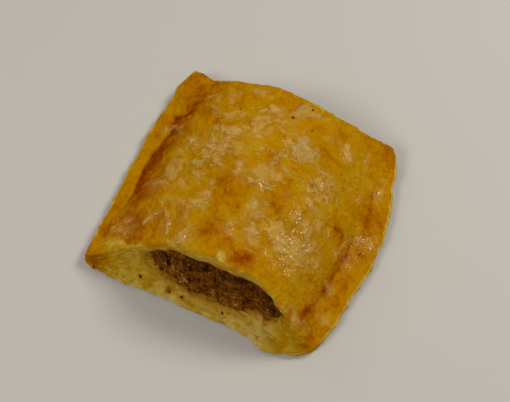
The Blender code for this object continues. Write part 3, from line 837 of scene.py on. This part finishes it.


# %% [markdown]
# Beaten egg sets to a thin glassy film, but it dries in patches, so the crust shines in some places
# only, and looks dry and pale where a flake has lifted. Everything the oven does to the colour lies
# on one scale, from cream through gold to dark brown. The finish adds up how far each place has got
# along it, from soft noise, the browned spots and the creases, and reads the colour off a ramp. Two
# of the spots lower it, as painted light where it falls brightest. The cut layers have a paler scale
# of their own, and their lines follow the depth below the skin.

# %% Egg-washed puff pastry
# Laminated dough of flour and butter, baked at about 200 degrees. Where the egg lies thick it gives
# a sharp shine over a rougher, deep golden crust. Cut layers are matt, pale and fibrous.
CRUST_SCALE = [(0.0, "#c2a552"), (0.2, "#bb9326"), (0.36, "#b88806"), (0.50, "#b37c00"),
               (0.64, "#a86900"), (0.78, "#954c00"), (0.9, "#813700"), (1.0, "#702900")]
CUT_SCALE = [(0.0, "#cfb86a"), (0.3, "#c2a23a"), (0.55, "#b38a14"), (0.8, "#a57303"),
             (1.0, "#8c5404")]
BASE_SCALE = [(0.2, "#c99c4e"), (0.45, "#b07c2e"), (0.65, "#965c1a"), (0.85, "#6e3c0e")]

puff_pastry, tree, shader = new_material("egg-washed puff pastry")
place = add(tree, "ShaderNodeTexCoord").outputs["Object"]
given = {}
for name in ("crust", "base", "depth", "crease", "browned", "blistered", "washed", "plate",
             "crack", "flake", "olive", "shows", "glossy", "crest", "juice_stain_and_shade", "inner", "torn"):
    given[name] = add(tree, "ShaderNodeAttribute", attribute_name=name).outputs["Fac"]
noises = {}
along = add(tree, "ShaderNodeVectorMath", {0: place, 1: (1.0, 0.5, 0.8)}, operation="MULTIPLY")
for name, size, detail, distortion in (("clouds", 15, 2.0, 0.5), ("mottle", 4.5, 4.0, 0.8),
                                       ("patch", 2.2, 3.0, 0.8), ("speckle", 1.2, 3.0, 0.6),
                                       ("wrinkle", 1.5, 4.0, 1.4)):
    noises[name] = add(tree, "ShaderNodeTexNoise", {
        "Vector": along if name == "wrinkle" else place, "Scale": 1 / (size * MM),
        "Detail": detail, "Distortion": distortion})
print(puff_pastry.name, "reads", len(given), "numbers and", len(noises), "noises")

# %% How far the crust has browned
# Browning, and painted light where two of the spots lower the tone.
tone = weighted_sum(tree, -0.25, (
    (noises["clouds"], 0.34), (noises["mottle"], 0.62), (noises["speckle"], 0.26),
    (noises["wrinkle"], 0.20), (given["browned"], 0.55), (given["crease"], 0.40)))
crust_colour = add(tree, "ShaderNodeValToRGB", {"Fac": tone}, stops=CRUST_SCALE)
print("browning:", len(tree.nodes), "nodes so far")

# %% [markdown]
# Flakes that have lifted are pale, with a soft halo, and some are thin enough to show the olive
# dough below. They are worn through in places. The same pale colour is painted along the crests of
# the ridges and on some listed spots, as painted highlights. The crust is painted darker in the
# cracks and just outside a flake, as painted shade where the lifted rims overhang.

# %% Flakes, painted highlights and painted shade
# How far each flake or plate has lifted, and a band just outside it that is kept for painted shade.
lifted, painted_rim_shade = {}, {}
for name, start, full, reach in (("plate", 0.0, 0.08, 0.04), ("flake", -0.35, 0.65, 0.55)):
    lifted[name] = add(tree, "ShaderNodeMapRange", {
        "Value": given[name], 1: start, 2: full}, interpolation_type="SMOOTHSTEP")
    near = add(tree, "ShaderNodeMapRange", {"Value": given[name], 1: -reach, 2: 0.0})
    painted_rim_shade[name] = add(tree, "ShaderNodeMath", {0: near, 1: lifted[name]}, operation="SUBTRACT")
# Pale flakes, together with painted highlights on ridges and listed glints.
flakes_and_painted_highlights = add(tree, "ShaderNodeMath", {0: lifted["plate"], 1: 0.7}, operation="MULTIPLY")
halo = add(tree, "ShaderNodeMapRange", {
    "Value": given["flake"], 1: -1.8, 2: 0.8, 4: 0.42}, interpolation_type="SMOOTHSTEP")
listed = add(tree, "ShaderNodeMath", {0: lifted["flake"], 1: halo}, operation="MAXIMUM")
listed = add(tree, "ShaderNodeMath", {0: listed, 1: given["shows"]}, operation="MULTIPLY")
# Painted highlight: the crests of the ridges are painted as pale as a flake.
flakes_and_painted_highlights = chain(tree, "MAXIMUM", flakes_and_painted_highlights, listed, given["crest"])
worn = add(tree, "ShaderNodeMapRange", {"Value": noises["patch"], 1: 0.36, 2: 0.60, 3: 0.36, 4: 1.0})
flakes_and_painted_highlights = add(tree, "ShaderNodeMath", {0: flakes_and_painted_highlights, 1: worn}, operation="MULTIPLY")
flake_and_highlight_colour = painted(tree, linear("#c9a254"), (given["olive"], linear("#b99f60")))
# Painted shade: the crust is painted darker in the cracks and just outside each flake and plate, where
# the lifted rim would shade it.
painted_shade_by_flakes = add(tree, "ShaderNodeMath", {
    0: painted_rim_shade["flake"], 1: 0.3, 2: painted_rim_shade["plate"]}, operation="MULTIPLY_ADD")
painted_shade_by_flakes = add(tree, "ShaderNodeMath", {0: painted_shade_by_flakes, 1: given["crack"]}, operation="MAXIMUM")
painted_shade_by_flakes = chain(tree, "MULTIPLY", painted_shade_by_flakes, given["blistered"], 0.35)
colour = painted(tree, crust_colour, (flakes_and_painted_highlights, flake_and_highlight_colour), (painted_shade_by_flakes, linear("#865a02")))
print("flakes:", len(tree.nodes), "nodes so far")

# %% [markdown]
# On a cut the layers show as faint lines. The dough is darker beside the meat, partly stained by
# juice and partly painted shade where the meat meets it, and pale at the foot, which the egg didn't
# reach. Noise frays the line between the skin and the cut.

# %% Cut layers
layer = add(tree, "ShaderNodeMath", {0: given["depth"], 1: 1 / (2.0 * MM)}, operation="MULTIPLY")
layer = add(tree, "ShaderNodeMath", {
    0: noises["mottle"], 1: 2.4, 2: layer}, operation="MULTIPLY_ADD")
layer = add(tree, "ShaderNodeMath", {0: layer, 1: 0.5}, operation="PINGPONG")
cut_tone = weighted_sum(tree, -0.72, (
    (layer, 0.30), (noises["clouds"], 0.5), (noises["mottle"], 0.7), (given["washed"], 0.45),
    (noises["patch"], 0.5), (noises["speckle"], 0.2)))
cut_colour = add(tree, "ShaderNodeValToRGB", {"Fac": cut_tone}, stops=CUT_SCALE)
# Juice stain and painted shade beside the meat, broken up by noise.
stain_and_shade = add(tree, "ShaderNodeMapRange", {"Value": noises["mottle"], 1: 0.18, 2: 0.52, 4: 0.95})
stain_and_shade = add(tree, "ShaderNodeMath", {0: given["juice_stain_and_shade"], 1: stain_and_shade}, operation="MULTIPLY")
above_tray = add(tree, "ShaderNodeSeparateXYZ", {0: place}).outputs["Z"]
pale_foot = add(tree, "ShaderNodeMath", {
    0: noises["mottle"], 1: 5 * MM, 2: above_tray}, operation="MULTIPLY_ADD")
pale_foot = add(tree, "ShaderNodeMapRange", {
    "Value": pale_foot, 1: 4.8 * MM, 2: 2.8 * MM, 4: 0.50}, interpolation_type="SMOOTHSTEP")
unwashed = add(tree, "ShaderNodeMath", {
    0: given["washed"], 1: -0.7, 2: 1.0}, operation="MULTIPLY_ADD", use_clamp=True)
pale_foot = add(tree, "ShaderNodeMath", {0: pale_foot, 1: unwashed}, operation="MULTIPLY")
cut_colour = painted(tree, cut_colour, (stain_and_shade, linear("#905304")), (pale_foot, linear("#d2ba62")))
is_cut = add(tree, "ShaderNodeMath", {0: noises["patch"], 1: 0.9, 2: -0.45}, operation="MULTIPLY_ADD")
is_cut = chain(tree, "ADD", is_cut, given["inner"], given["torn"])
is_cut = add(tree, "ShaderNodeMapRange", {
    "Value": is_cut, 1: 0.30, 2: 0.75}, interpolation_type="SMOOTHSTEP")
print("cut layers:", len(tree.nodes), "nodes so far")

# %% [markdown]
# The underside has baked dry on its tray. On top, only whole crust keeps its film of egg, and the
# film is broken by the wrinkles. A bump adds the relief that is too fine for the mesh.

# %% Underside, shine and fine relief
base_tone = weighted_sum(tree, -0.45, (
    (noises["clouds"], 0.9), (noises["mottle"], 0.7), (noises["patch"], 0.35)))
base_colour = add(tree, "ShaderNodeValToRGB", {"Fac": base_tone}, stops=BASE_SCALE)
colour = painted(tree, colour, (is_cut, cut_colour), (given["base"], base_colour))

glazed = add(tree, "ShaderNodeMath", {0: flakes_and_painted_highlights, 1: -0.8, 2: 1.0}, operation="MULTIPLY_ADD")
glazed = add(tree, "ShaderNodeMath", {0: glazed, 1: given["crust"]}, operation="MULTIPLY")
unbroken = add(tree, "ShaderNodeMapRange", {
    "Value": noises["wrinkle"], 1: 0.44, 2: 0.58, 3: 0.08, 4: 1.6}, interpolation_type="SMOOTHSTEP")
film = add(tree, "ShaderNodeMath", {
    0: given["glossy"], 1: unbroken, 2: 0.02}, operation="MULTIPLY_ADD", use_clamp=True)
coat = add(tree, "ShaderNodeMath", {0: film, 1: given["crust"]}, operation="MULTIPLY")
roughness = add(tree, "ShaderNodeMapRange", {"Value": glazed, 3: 0.66, 4: 0.36})

crisp = add(tree, "ShaderNodeMath", {0: given["glossy"], 1: 0.5, 2: 0.7}, operation="MULTIPLY_ADD")
fine = add(tree, "ShaderNodeMath", {0: noises["wrinkle"], 1: crisp}, operation="MULTIPLY")
fine = add(tree, "ShaderNodeMath", {
    0: noises["speckle"], 1: 0.2, 2: fine}, operation="MULTIPLY_ADD")
lines = add(tree, "ShaderNodeMath", {0: layer, 1: is_cut}, operation="MULTIPLY")
fine = add(tree, "ShaderNodeMath", {0: lines, 1: 0.7, 2: fine}, operation="MULTIPLY_ADD")
bump = add(tree, "ShaderNodeBump", {"Height": fine, "Strength": 0.6, "Distance": 0.40 * MM})
set_inputs(shader, {"Base Color": colour, "Roughness": roughness, "Normal": bump,
                    "Coat Weight": coat, "Coat Roughness": 0.10, "Coat IOR": 1.45,
                    "Specular IOR Level": 0.0})
print("all of", puff_pastry.name + ":", len(tree.nodes), "nodes")

# %% Raise the relief
run_tree(pastry, relief_tree(), RELIEF)
places = vertex_places(pastry.data)
places[:, 2] = np.maximum(places[:, 2], 0)  # the roll stands on the counter
move_vertices(pastry.data, places)
print("pastry with its relief:", triangle_count(pastry.data), "triangles")


# %% [markdown]
# On a cut the dough shows as leaves, which dried at different rates and stand out unevenly. The
# mesh is too coarse for them, so they are built as ribbons. Each starts from a contour line of the
# depth below the skin, which is the line that a leaf of dough makes where it meets the cut. A
# contour is found triangle by triangle: it crosses two edges of each triangle that it passes. The
# ribbon then rises along the surface's normal, and noise lets it break off and start again. How
# flaky a place is decides how far its leaves rise, and below zero it holds them back.

# %% Leaves along the cuts
LEAF_DEPTHS = (0.8, 1.7, 2.9, 4.4, 6.2, 8.4)  # below the skin, mm
LEAF_THICKNESS = 0.80 * MM
LEAF_RISE = 0.60 * MM
LEAF_ROOT = 0.35 * MM
LEAF_LEAN = 0.35  # of its rise, at a full swing of the slow noise
TIP_SHARE = 0.6  # of its thickness is left at a leaf's tip
SLOW_NOISE, FAST_NOISE = 5 * MM, 0.9 * MM
SLOW_WEIGHT, FAST_WEIGHT, FLAKY_WEIGHT, HELD_BACK = 1.7, 0.45, 0.95, 0.70
FLAKY_RANGE = (-0.6, 1.2)
RISE_RANGE = (-0.3 * MM, 1.1 * MM)
SHOWN_FROM = -0.2 * MM  # a leaf that rises less is left out
LEAF_CLEARANCE = 0.02 * MM  # between the lowest leaves and the counter
SURELY_CUT = 0.6  # the share of cut from which a triangle carries leaves

# How flaky the cuts are: place across and along, radius, how far the leaves rise there.
FLAKY = [
    (38, -45, 8, -0.35), (32, -38, 6, -0.35), (25, -49, 6, 0.8), (4, -50, 8, 0.2),
    (-20, 46, 14, 0.6), (22, 46, 14, 0.7), (46, 42, 9, 0.7), (-47, 44, 9, 0.4), (52, 5, 16, 0.3),
    (49, -26, 14, 0.35), (-53, 22, 14, 0.3), (-50, -26, 10, 0.5),
]


def mesh_triangles(mesh):
    mesh.calc_loop_triangles()
    return read(mesh.loop_triangles, "vertices", 3, np.int32)


def stored(mesh, name):
    return read(mesh.attributes[name].data, "value", 1)[:, 0].astype(float)


def contour(values, corners, level):
    """The edges that a contour crosses, where it crosses them, and the pieces of line between."""
    above = values[corners] > level
    corners = corners[(above.sum(axis=1) % 3) > 0]
    crossed = []
    for a, b in ((0, 1), (1, 2), (2, 0)):
        pair = np.sort(corners[:, [a, b]], axis=1)
        crosses = (values[pair[:, 0]] > level) != (values[pair[:, 1]] > level)
        crossed.append(np.where(crosses[:, None], pair, -1))
    pairs = np.stack(crossed, axis=1)
    pairs = pairs[pairs[:, :, 0] >= 0].reshape(-1, 2, 2)
    edges, number = np.unique(pairs.reshape(-1, 2), axis=0, return_inverse=True)
    share = (level - values[edges[:, 0]]) / (values[edges[:, 1]] - values[edges[:, 0]])
    return edges, share, number.reshape(-1, 2)


# %% Ribbons on the contours
def noise_at(places, offset):
    return np.array([smooth_noise(Vector(place) + offset) for place in places])


def leaf_ribbons(mesh):
    """All ribbons as one mesh, with how far out each vertex lies stored as its tip."""
    places, normals = vertex_places(mesh), vertex_normals(mesh)
    values = stored(mesh, "depth") / MM
    corners = mesh_triangles(mesh)
    corners = corners[(stored(mesh, "cut")[corners] > SURELY_CUT).all(axis=1)]
    points, faces, tips = [], [], []
    count = 0
    for number, level in enumerate(LEAF_DEPTHS):
        edges, share, lines = contour(values, corners, level)
        a, b = edges.T
        middle = places[a] + share[:, None] * (places[b] - places[a])
        outward = normals[a] + normals[b]
        outward /= np.linalg.norm(outward, axis=1, keepdims=True)
        inward = np.zeros_like(middle)
        step = (places[b] - places[a]) * np.sign(values[b] - values[a])[:, None]
        for end in (0, 1):
            np.add.at(inward, lines[:, end], step[lines].mean(axis=1))
        inward -= outward * (inward * outward).sum(axis=1, keepdims=True)
        inward /= np.linalg.norm(inward, axis=1, keepdims=True) + 1e-12
        flaky = np.clip(soft_spots(middle, FLAKY), *FLAKY_RANGE)
        slow = noise_at(middle / SLOW_NOISE, Vector((0, 0, 7.0 * number)))
        fast = noise_at(middle / FAST_NOISE, Vector((0, 5.0 * number, 0)))
        rise = SLOW_WEIGHT * slow + FAST_WEIGHT * fast - HELD_BACK + FLAKY_WEIGHT * flaky
        rise *= LEAF_RISE
        shown = rise > SHOWN_FROM
        rise = np.clip(rise, *RISE_RANGE)
        lean = (LEAF_LEAN * slow * rise)[:, None] * inward
        half = 0.5 * LEAF_THICKNESS * inward
        root = middle - LEAF_ROOT * outward
        tip = middle + rise[:, None] * outward + lean
        points.append(np.stack([root - half, tip - TIP_SHARE * half, tip + TIP_SHARE * half,
                                root + half], axis=1))
        tips.append(np.outer(np.clip(rise / LEAF_RISE, 0, 1), (0, 1, 1, 0)))
        lines = lines[shown[lines].any(axis=1)]
        p, q = count + 4 * lines.T
        for corner in range(4):
            after = (corner + 1) % 4
            faces.append(np.stack([p + corner, q + corner, q + after, p + after], axis=1))
        count += 4 * len(middle)
    points = np.concatenate(points).reshape(-1, 3)
    points[:, 2] = np.maximum(points[:, 2], LEAF_CLEARANCE)
    ribbons = bpy.data.meshes.new("pastry_leaves")
    ribbons.from_pydata(points.tolist(), [], np.concatenate(faces).tolist())
    store(ribbons, "tip", np.concatenate(tips).ravel())
    return ribbons


# %% The leaves and their finish
leaves = new_object("pastry_leaves", leaf_ribbons(pastry.data))
mesh = bmesh.new()
mesh.from_mesh(leaves.data)
bmesh.ops.delete(mesh, geom=[v for v in mesh.verts if not v.link_faces], context="VERTS")
bmesh.ops.recalc_face_normals(mesh, faces=mesh.faces)
mesh.to_mesh(leaves.data)
mesh.free()

# Thin, dry leaves of dough: cream coloured, and gold where their tips baked.
LEAF_SCALE = [(0.0, "#cdb474"), (0.45, "#be9c44"), (0.75, "#ad8018"), (1.0, "#96600a")]
leaf_pastry, tree, shader = new_material("dry leaves of puff pastry")
place = add(tree, "ShaderNodeTexCoord").outputs["Object"]
tip = add(tree, "ShaderNodeAttribute", attribute_name="tip").outputs["Fac"]
mottled = add(tree, "ShaderNodeTexNoise", {"Vector": place, "Scale": 1 / (5 * MM), "Detail": 4.0})
leaf_tone = weighted_sum(tree, -0.35, ((mottled, 1.4), (tip, 0.2)))
leaf_colour = add(tree, "ShaderNodeValToRGB", {"Fac": leaf_tone}, stops=LEAF_SCALE)
set_inputs(shader, {"Base Color": leaf_colour, "Roughness": 0.6, "Specular IOR Level": 0.1})
leaves.data.materials.append(leaf_pastry)
print("leaves:", triangle_count(leaves.data), "triangles")

# %% [markdown]
# A few peppercorn crumbs and burnt bits of filling lie on the crust and the cuts. Each is a small
# uneven blob. A ray drops the ones on the crust from above, and throws the ones on a cut against it
# from beyond its end, so that each lands on the finished relief.

# %% Specks of pepper and filling
ROOF = 35  # a speck given higher than this is dropped on to the crust, mm
BEYOND = 80  # the others are thrown at their end from this far out, mm
# Each speck: its place across, along and up, and its radius, in millimetres.
SPECKS = [
    (-16.1, 25.4, 40, 0.3), (4.4, 29.3, 40, 0.55), (9.7, 36.9, 40, 0.45), (13.3, 27.2, 40, 0.38),
    (13, 28, 40, 0.25), (47.5, -3.5, 40, 0.3), (-24.1, -46.2, 4.4, 0.55), (-24.5, -46, 4.7, 0.4),
    (-11.8, -46.4, 2.9, 0.45), (-6.6, -46.4, 3.3, 0.5), (-7, -46.4, 3.3, 0.35),
    (10.2, -45.8, 4.1, 0.5), (9.8, -45.8, 4.2, 0.35), (-43.1, -49, 2.2, 0.45), (-14, 45.5, 5, 0.5),
    (16, 45, 5, 0.45), (30, 44, 5, 0.3),
]
SPECK_TREE = {"seed": 3}

# Ground black pepper and scorched crumbs: nearly black, slightly red, dull.
pepper, tree, shader = new_material("scorched pepper crumbs")
place = add(tree, "ShaderNodeTexCoord").outputs["Object"]
mottled = add(tree, "ShaderNodeTexNoise", {"Vector": place, "Scale": 1 / (0.7 * MM), "Detail": 2.0})
pepper_colour = add(tree, "ShaderNodeValToRGB", {
    "Fac": mottled}, stops=[(0.35, "#2c0d00"), (0.65, "#7c3003")])
set_inputs(shader, {"Base Color": pepper_colour, "Roughness": 0.6, "Specular IOR Level": 0.2})


def speck_tree():
    tree, given, out = new_tree("specks", SPECK_TREE)
    place = add(tree, "GeometryNodeInputPosition")
    speck_size = add(tree, "GeometryNodeInputNamedAttribute", {"Name": "speck size"})
    points = add(tree, "GeometryNodeMeshToPoints", {"Mesh": given.outputs["Geometry"]})
    blob = add(tree, "GeometryNodeMeshIcoSphere", {"Radius": 1.0, "Subdivisions": 2})
    turn = add(tree, "FunctionNodeRandomValue", {
        1: (6.3, 6.3, 6.3), "Seed": given.outputs["seed"]}, data_type="FLOAT_VECTOR")
    blobs = add(tree, "GeometryNodeInstanceOnPoints", {
        "Points": points, "Instance": blob.outputs["Mesh"], "Rotation": turn, "Scale": speck_size})
    real = add(tree, "GeometryNodeRealizeInstances", {"Geometry": blobs})
    uneven = add(tree, "ShaderNodeTexNoise", {"Vector": place, "Scale": 1 / (0.5 * MM)})
    uneven = add(tree, "ShaderNodeVectorMath", {
        0: uneven.outputs[1], 1: (0.5, 0.5, 0.5)}, operation="SUBTRACT")
    uneven = add(tree, "ShaderNodeVectorMath", {0: uneven, "Scale": 0.6 * MM}, operation="SCALE")
    shaped = add(tree, "GeometryNodeSetPosition", {"Geometry": real, "Offset": uneven})
    dressed = add(tree, "GeometryNodeSetMaterial", {"Geometry": shaped, "Material": pepper})
    set_inputs(out, {"Geometry": dressed})
    return tree


pastry_surface = surface_tree(pastry.data)
speck_points = []
for x, y, z, radius in SPECKS:
    if z > ROOF:
        start, towards = Vector((x, y, z)), Vector((0, 0, -1))
    else:
        end = math.copysign(1, y)
        start, towards = Vector((x, end * BEYOND, z)), Vector((0, -end, 0))
    speck_points.append(pastry_surface.ray_cast(start * MM, towards)[0])
    assert speck_points[-1] is not None, (x, y, z)
speck_mesh = bpy.data.meshes.new("pepper_specks")
speck_mesh.from_pydata(speck_points, [], [])
store(speck_mesh, "speck size", [radius * MM for *_, radius in SPECKS])
specks = new_object("pepper_specks", speck_mesh)
run_tree(specks, speck_tree(), SPECK_TREE)
print("specks:", len(SPECKS), "with", triangle_count(specks.data), "triangles")

# %% [markdown]
# The meat is coarse mince: grains of lean and fat, one to two millimetres across, bound together
# and browned where the oven reached them. It starts from the CAD filling, swollen by the small gap
# that the CAD leaves round it, so that it meets the pastry, and then moved with the pastry's sag
# and ragged mouth. Its two ends get a lumpy relief, and grains are scattered over them with
# Geometry Nodes, turned and sized by chance from a fixed seed. Each grain keeps a number of its own,
# from which the finish takes its shade.

# %% Sausage meat
# Minced pork, seasoned and cooked: a dark brown, slightly greasy and very uneven surface, with
# paler grains of fat and rusk and nearly black gaps between them.
MEAT_SCALE = [(0.10, "#241000"), (0.32, "#4f2801"), (0.52, "#724005"), (0.72, "#915c12"),
              (0.92, "#b68b3e")]
sausage_meat, tree, shader = new_material("coarse cooked sausage meat")
place = add(tree, "ShaderNodeTexCoord").outputs["Object"]
grain_shade = add(tree, "ShaderNodeAttribute", attribute_name="shade").outputs["Fac"]
height = add(tree, "ShaderNodeSeparateXYZ", {0: place}).outputs["Z"]
# Painted shade: the meat is darker towards its top, under the roof of pastry that overhangs it.
meat_tone = add(tree, "ShaderNodeMapRange", {
    "Value": height, 1: 6 * MM, 2: 24 * MM, 3: -0.61, 4: -0.84})
for size, weight in ((8.0, 0.50), (3.0, 1.10), (0.9, 0.50)):
    noise = add(tree, "ShaderNodeTexNoise", {
        "Vector": place, "Scale": 1 / (size * MM), "Detail": 3.0, "Roughness": 0.6})
    meat_tone = weighted_sum(tree, meat_tone, ((noise, weight),))
meat_tone = weighted_sum(tree, meat_tone, ((grain_shade, 0.35),))
meat_colour = add(tree, "ShaderNodeValToRGB", {"Fac": meat_tone}, stops=MEAT_SCALE)
roughness = add(tree, "ShaderNodeMapRange", {"Value": meat_tone, 3: 0.45, 4: 0.75})
bump = add(tree, "ShaderNodeBump", {"Height": noise, "Strength": 0.8, "Distance": 0.3 * MM})
set_inputs(shader, {"Base Color": meat_colour, "Roughness": roughness, "Normal": bump,
                    "Specular IOR Level": 0.05})

# %% Mince: its relief and its grains
MINCE = {
    "lump size": 3.0 * MM,
    "lump height": 1.4 * MM,
    "grains per square metre": 0.4e6,
    "grain size": 0.60 * MM,
    "seed": 4,
}
SWELL = 0.45 * MM
MEAT_QUAD = 0.45 * MM
HIDDEN_MEAT_SHARE = 0.06  # of the faces are left inside the tunnel
END_FACING = 0.4  # a normal's share along Y, from which a vertex is on an end


def end_share(mesh):
    """How far each vertex belongs to an end of the meat, from 0 to 1."""
    return spread(mesh, (np.abs(vertex_normals(mesh)[:, 1]) > END_FACING).astype(float), 2)


meat = dense_copy("sausage_meat", filling_cad, MEAT_QUAD, kind="SIMPLE")
thin_out(meat, end_share(meat.data) < 0.05, HIDDEN_MEAT_SHARE)
ends = end_share(meat.data)
meat_places = vertex_places(meat.data) + SWELL * vertex_normals(meat.data)
meat_places = sag(ragged_mouth(meat_places, np.ones(len(meat_places))))
move_vertices(meat.data, meat_places)
store(meat.data, "end", ends)


def mince_tree():
    tree, given, out = new_tree("mince", MINCE)
    place = add(tree, "GeometryNodeInputPosition")
    normal = add(tree, "GeometryNodeInputNormal")
    end = add(tree, "GeometryNodeInputNamedAttribute", {"Name": "end"})
    per_size = add(tree, "ShaderNodeMath", {0: 1.0, 1: given.outputs["lump size"]}, operation="DIVIDE")
    lump = add(tree, "ShaderNodeTexVoronoi", {
        "Vector": place, "Scale": per_size, "Detail": 1.0, "Smoothness": 0.4}, feature="SMOOTH_F1")
    lump = add(tree, "ShaderNodeMath", {0: 0.35, 1: lump.outputs["Distance"]}, operation="SUBTRACT")
    height = chain(tree, "MULTIPLY", lump, given.outputs["lump height"], end)
    offset = add(tree, "ShaderNodeVectorMath", {0: normal, "Scale": height}, operation="SCALE")
    body = add(tree, "GeometryNodeSetPosition", {
        "Geometry": given.outputs["Geometry"], "Offset": offset})
    body = add(tree, "GeometryNodeStoreNamedAttribute", {
        "Geometry": body, "Name": "shade", "Value": 0.35})

    # The grains.
    density = add(tree, "ShaderNodeMath", {
        0: end, 1: given.outputs["grains per square metre"]}, operation="MULTIPLY")
    points = add(tree, "GeometryNodeDistributePointsOnFaces", {
        "Mesh": body, "Density": density, "Seed": given.outputs["seed"]})
    grain = add(tree, "GeometryNodeMeshIcoSphere", {
        "Radius": given.outputs["grain size"], "Subdivisions": 2})
    turn = add(tree, "FunctionNodeRandomValue", {
        1: (6.3, 6.3, 6.3), "Seed": given.outputs["seed"]}, data_type="FLOAT_VECTOR")
    size = add(tree, "FunctionNodeRandomValue", {
        0: (0.4, 0.4, 0.3), 1: (1.7, 1.3, 0.9), "Seed": given.outputs["seed"]},
        data_type="FLOAT_VECTOR")
    grains = add(tree, "GeometryNodeInstanceOnPoints", {
        "Points": points.outputs["Points"], "Instance": grain.outputs["Mesh"], "Rotation": turn,
        "Scale": size})
    shade = add(tree, "FunctionNodeRandomValue", {2: 0.0, 3: 1.0, "Seed": 9}, data_type="FLOAT")
    grains = add(tree, "GeometryNodeStoreNamedAttribute", {
        "Geometry": grains, "Name": "shade", "Value": shade.outputs[1]}, domain="INSTANCE")
    both = add(tree, "GeometryNodeJoinGeometry")
    for part in (body, grains):
        set_inputs(both, {0: part})
    plain = add(tree, "GeometryNodeRealizeInstances", {"Geometry": both})
    smooth = add(tree, "GeometryNodeSetShadeSmooth", {"Geometry": plain})
    dressed = add(tree, "GeometryNodeSetMaterial", {"Geometry": smooth, "Material": sausage_meat})
    set_inputs(out, {"Geometry": dressed})
    return tree


run_tree(meat, mince_tree(), MINCE)
print("meat with its grains:", triangle_count(meat.data), "triangles")

# %% Finish
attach(pastry, "root")
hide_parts("pastry_case")
for piece in (leaves, specks):
    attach(piece, "root")
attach(meat, "root")
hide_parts("sausage_filling")
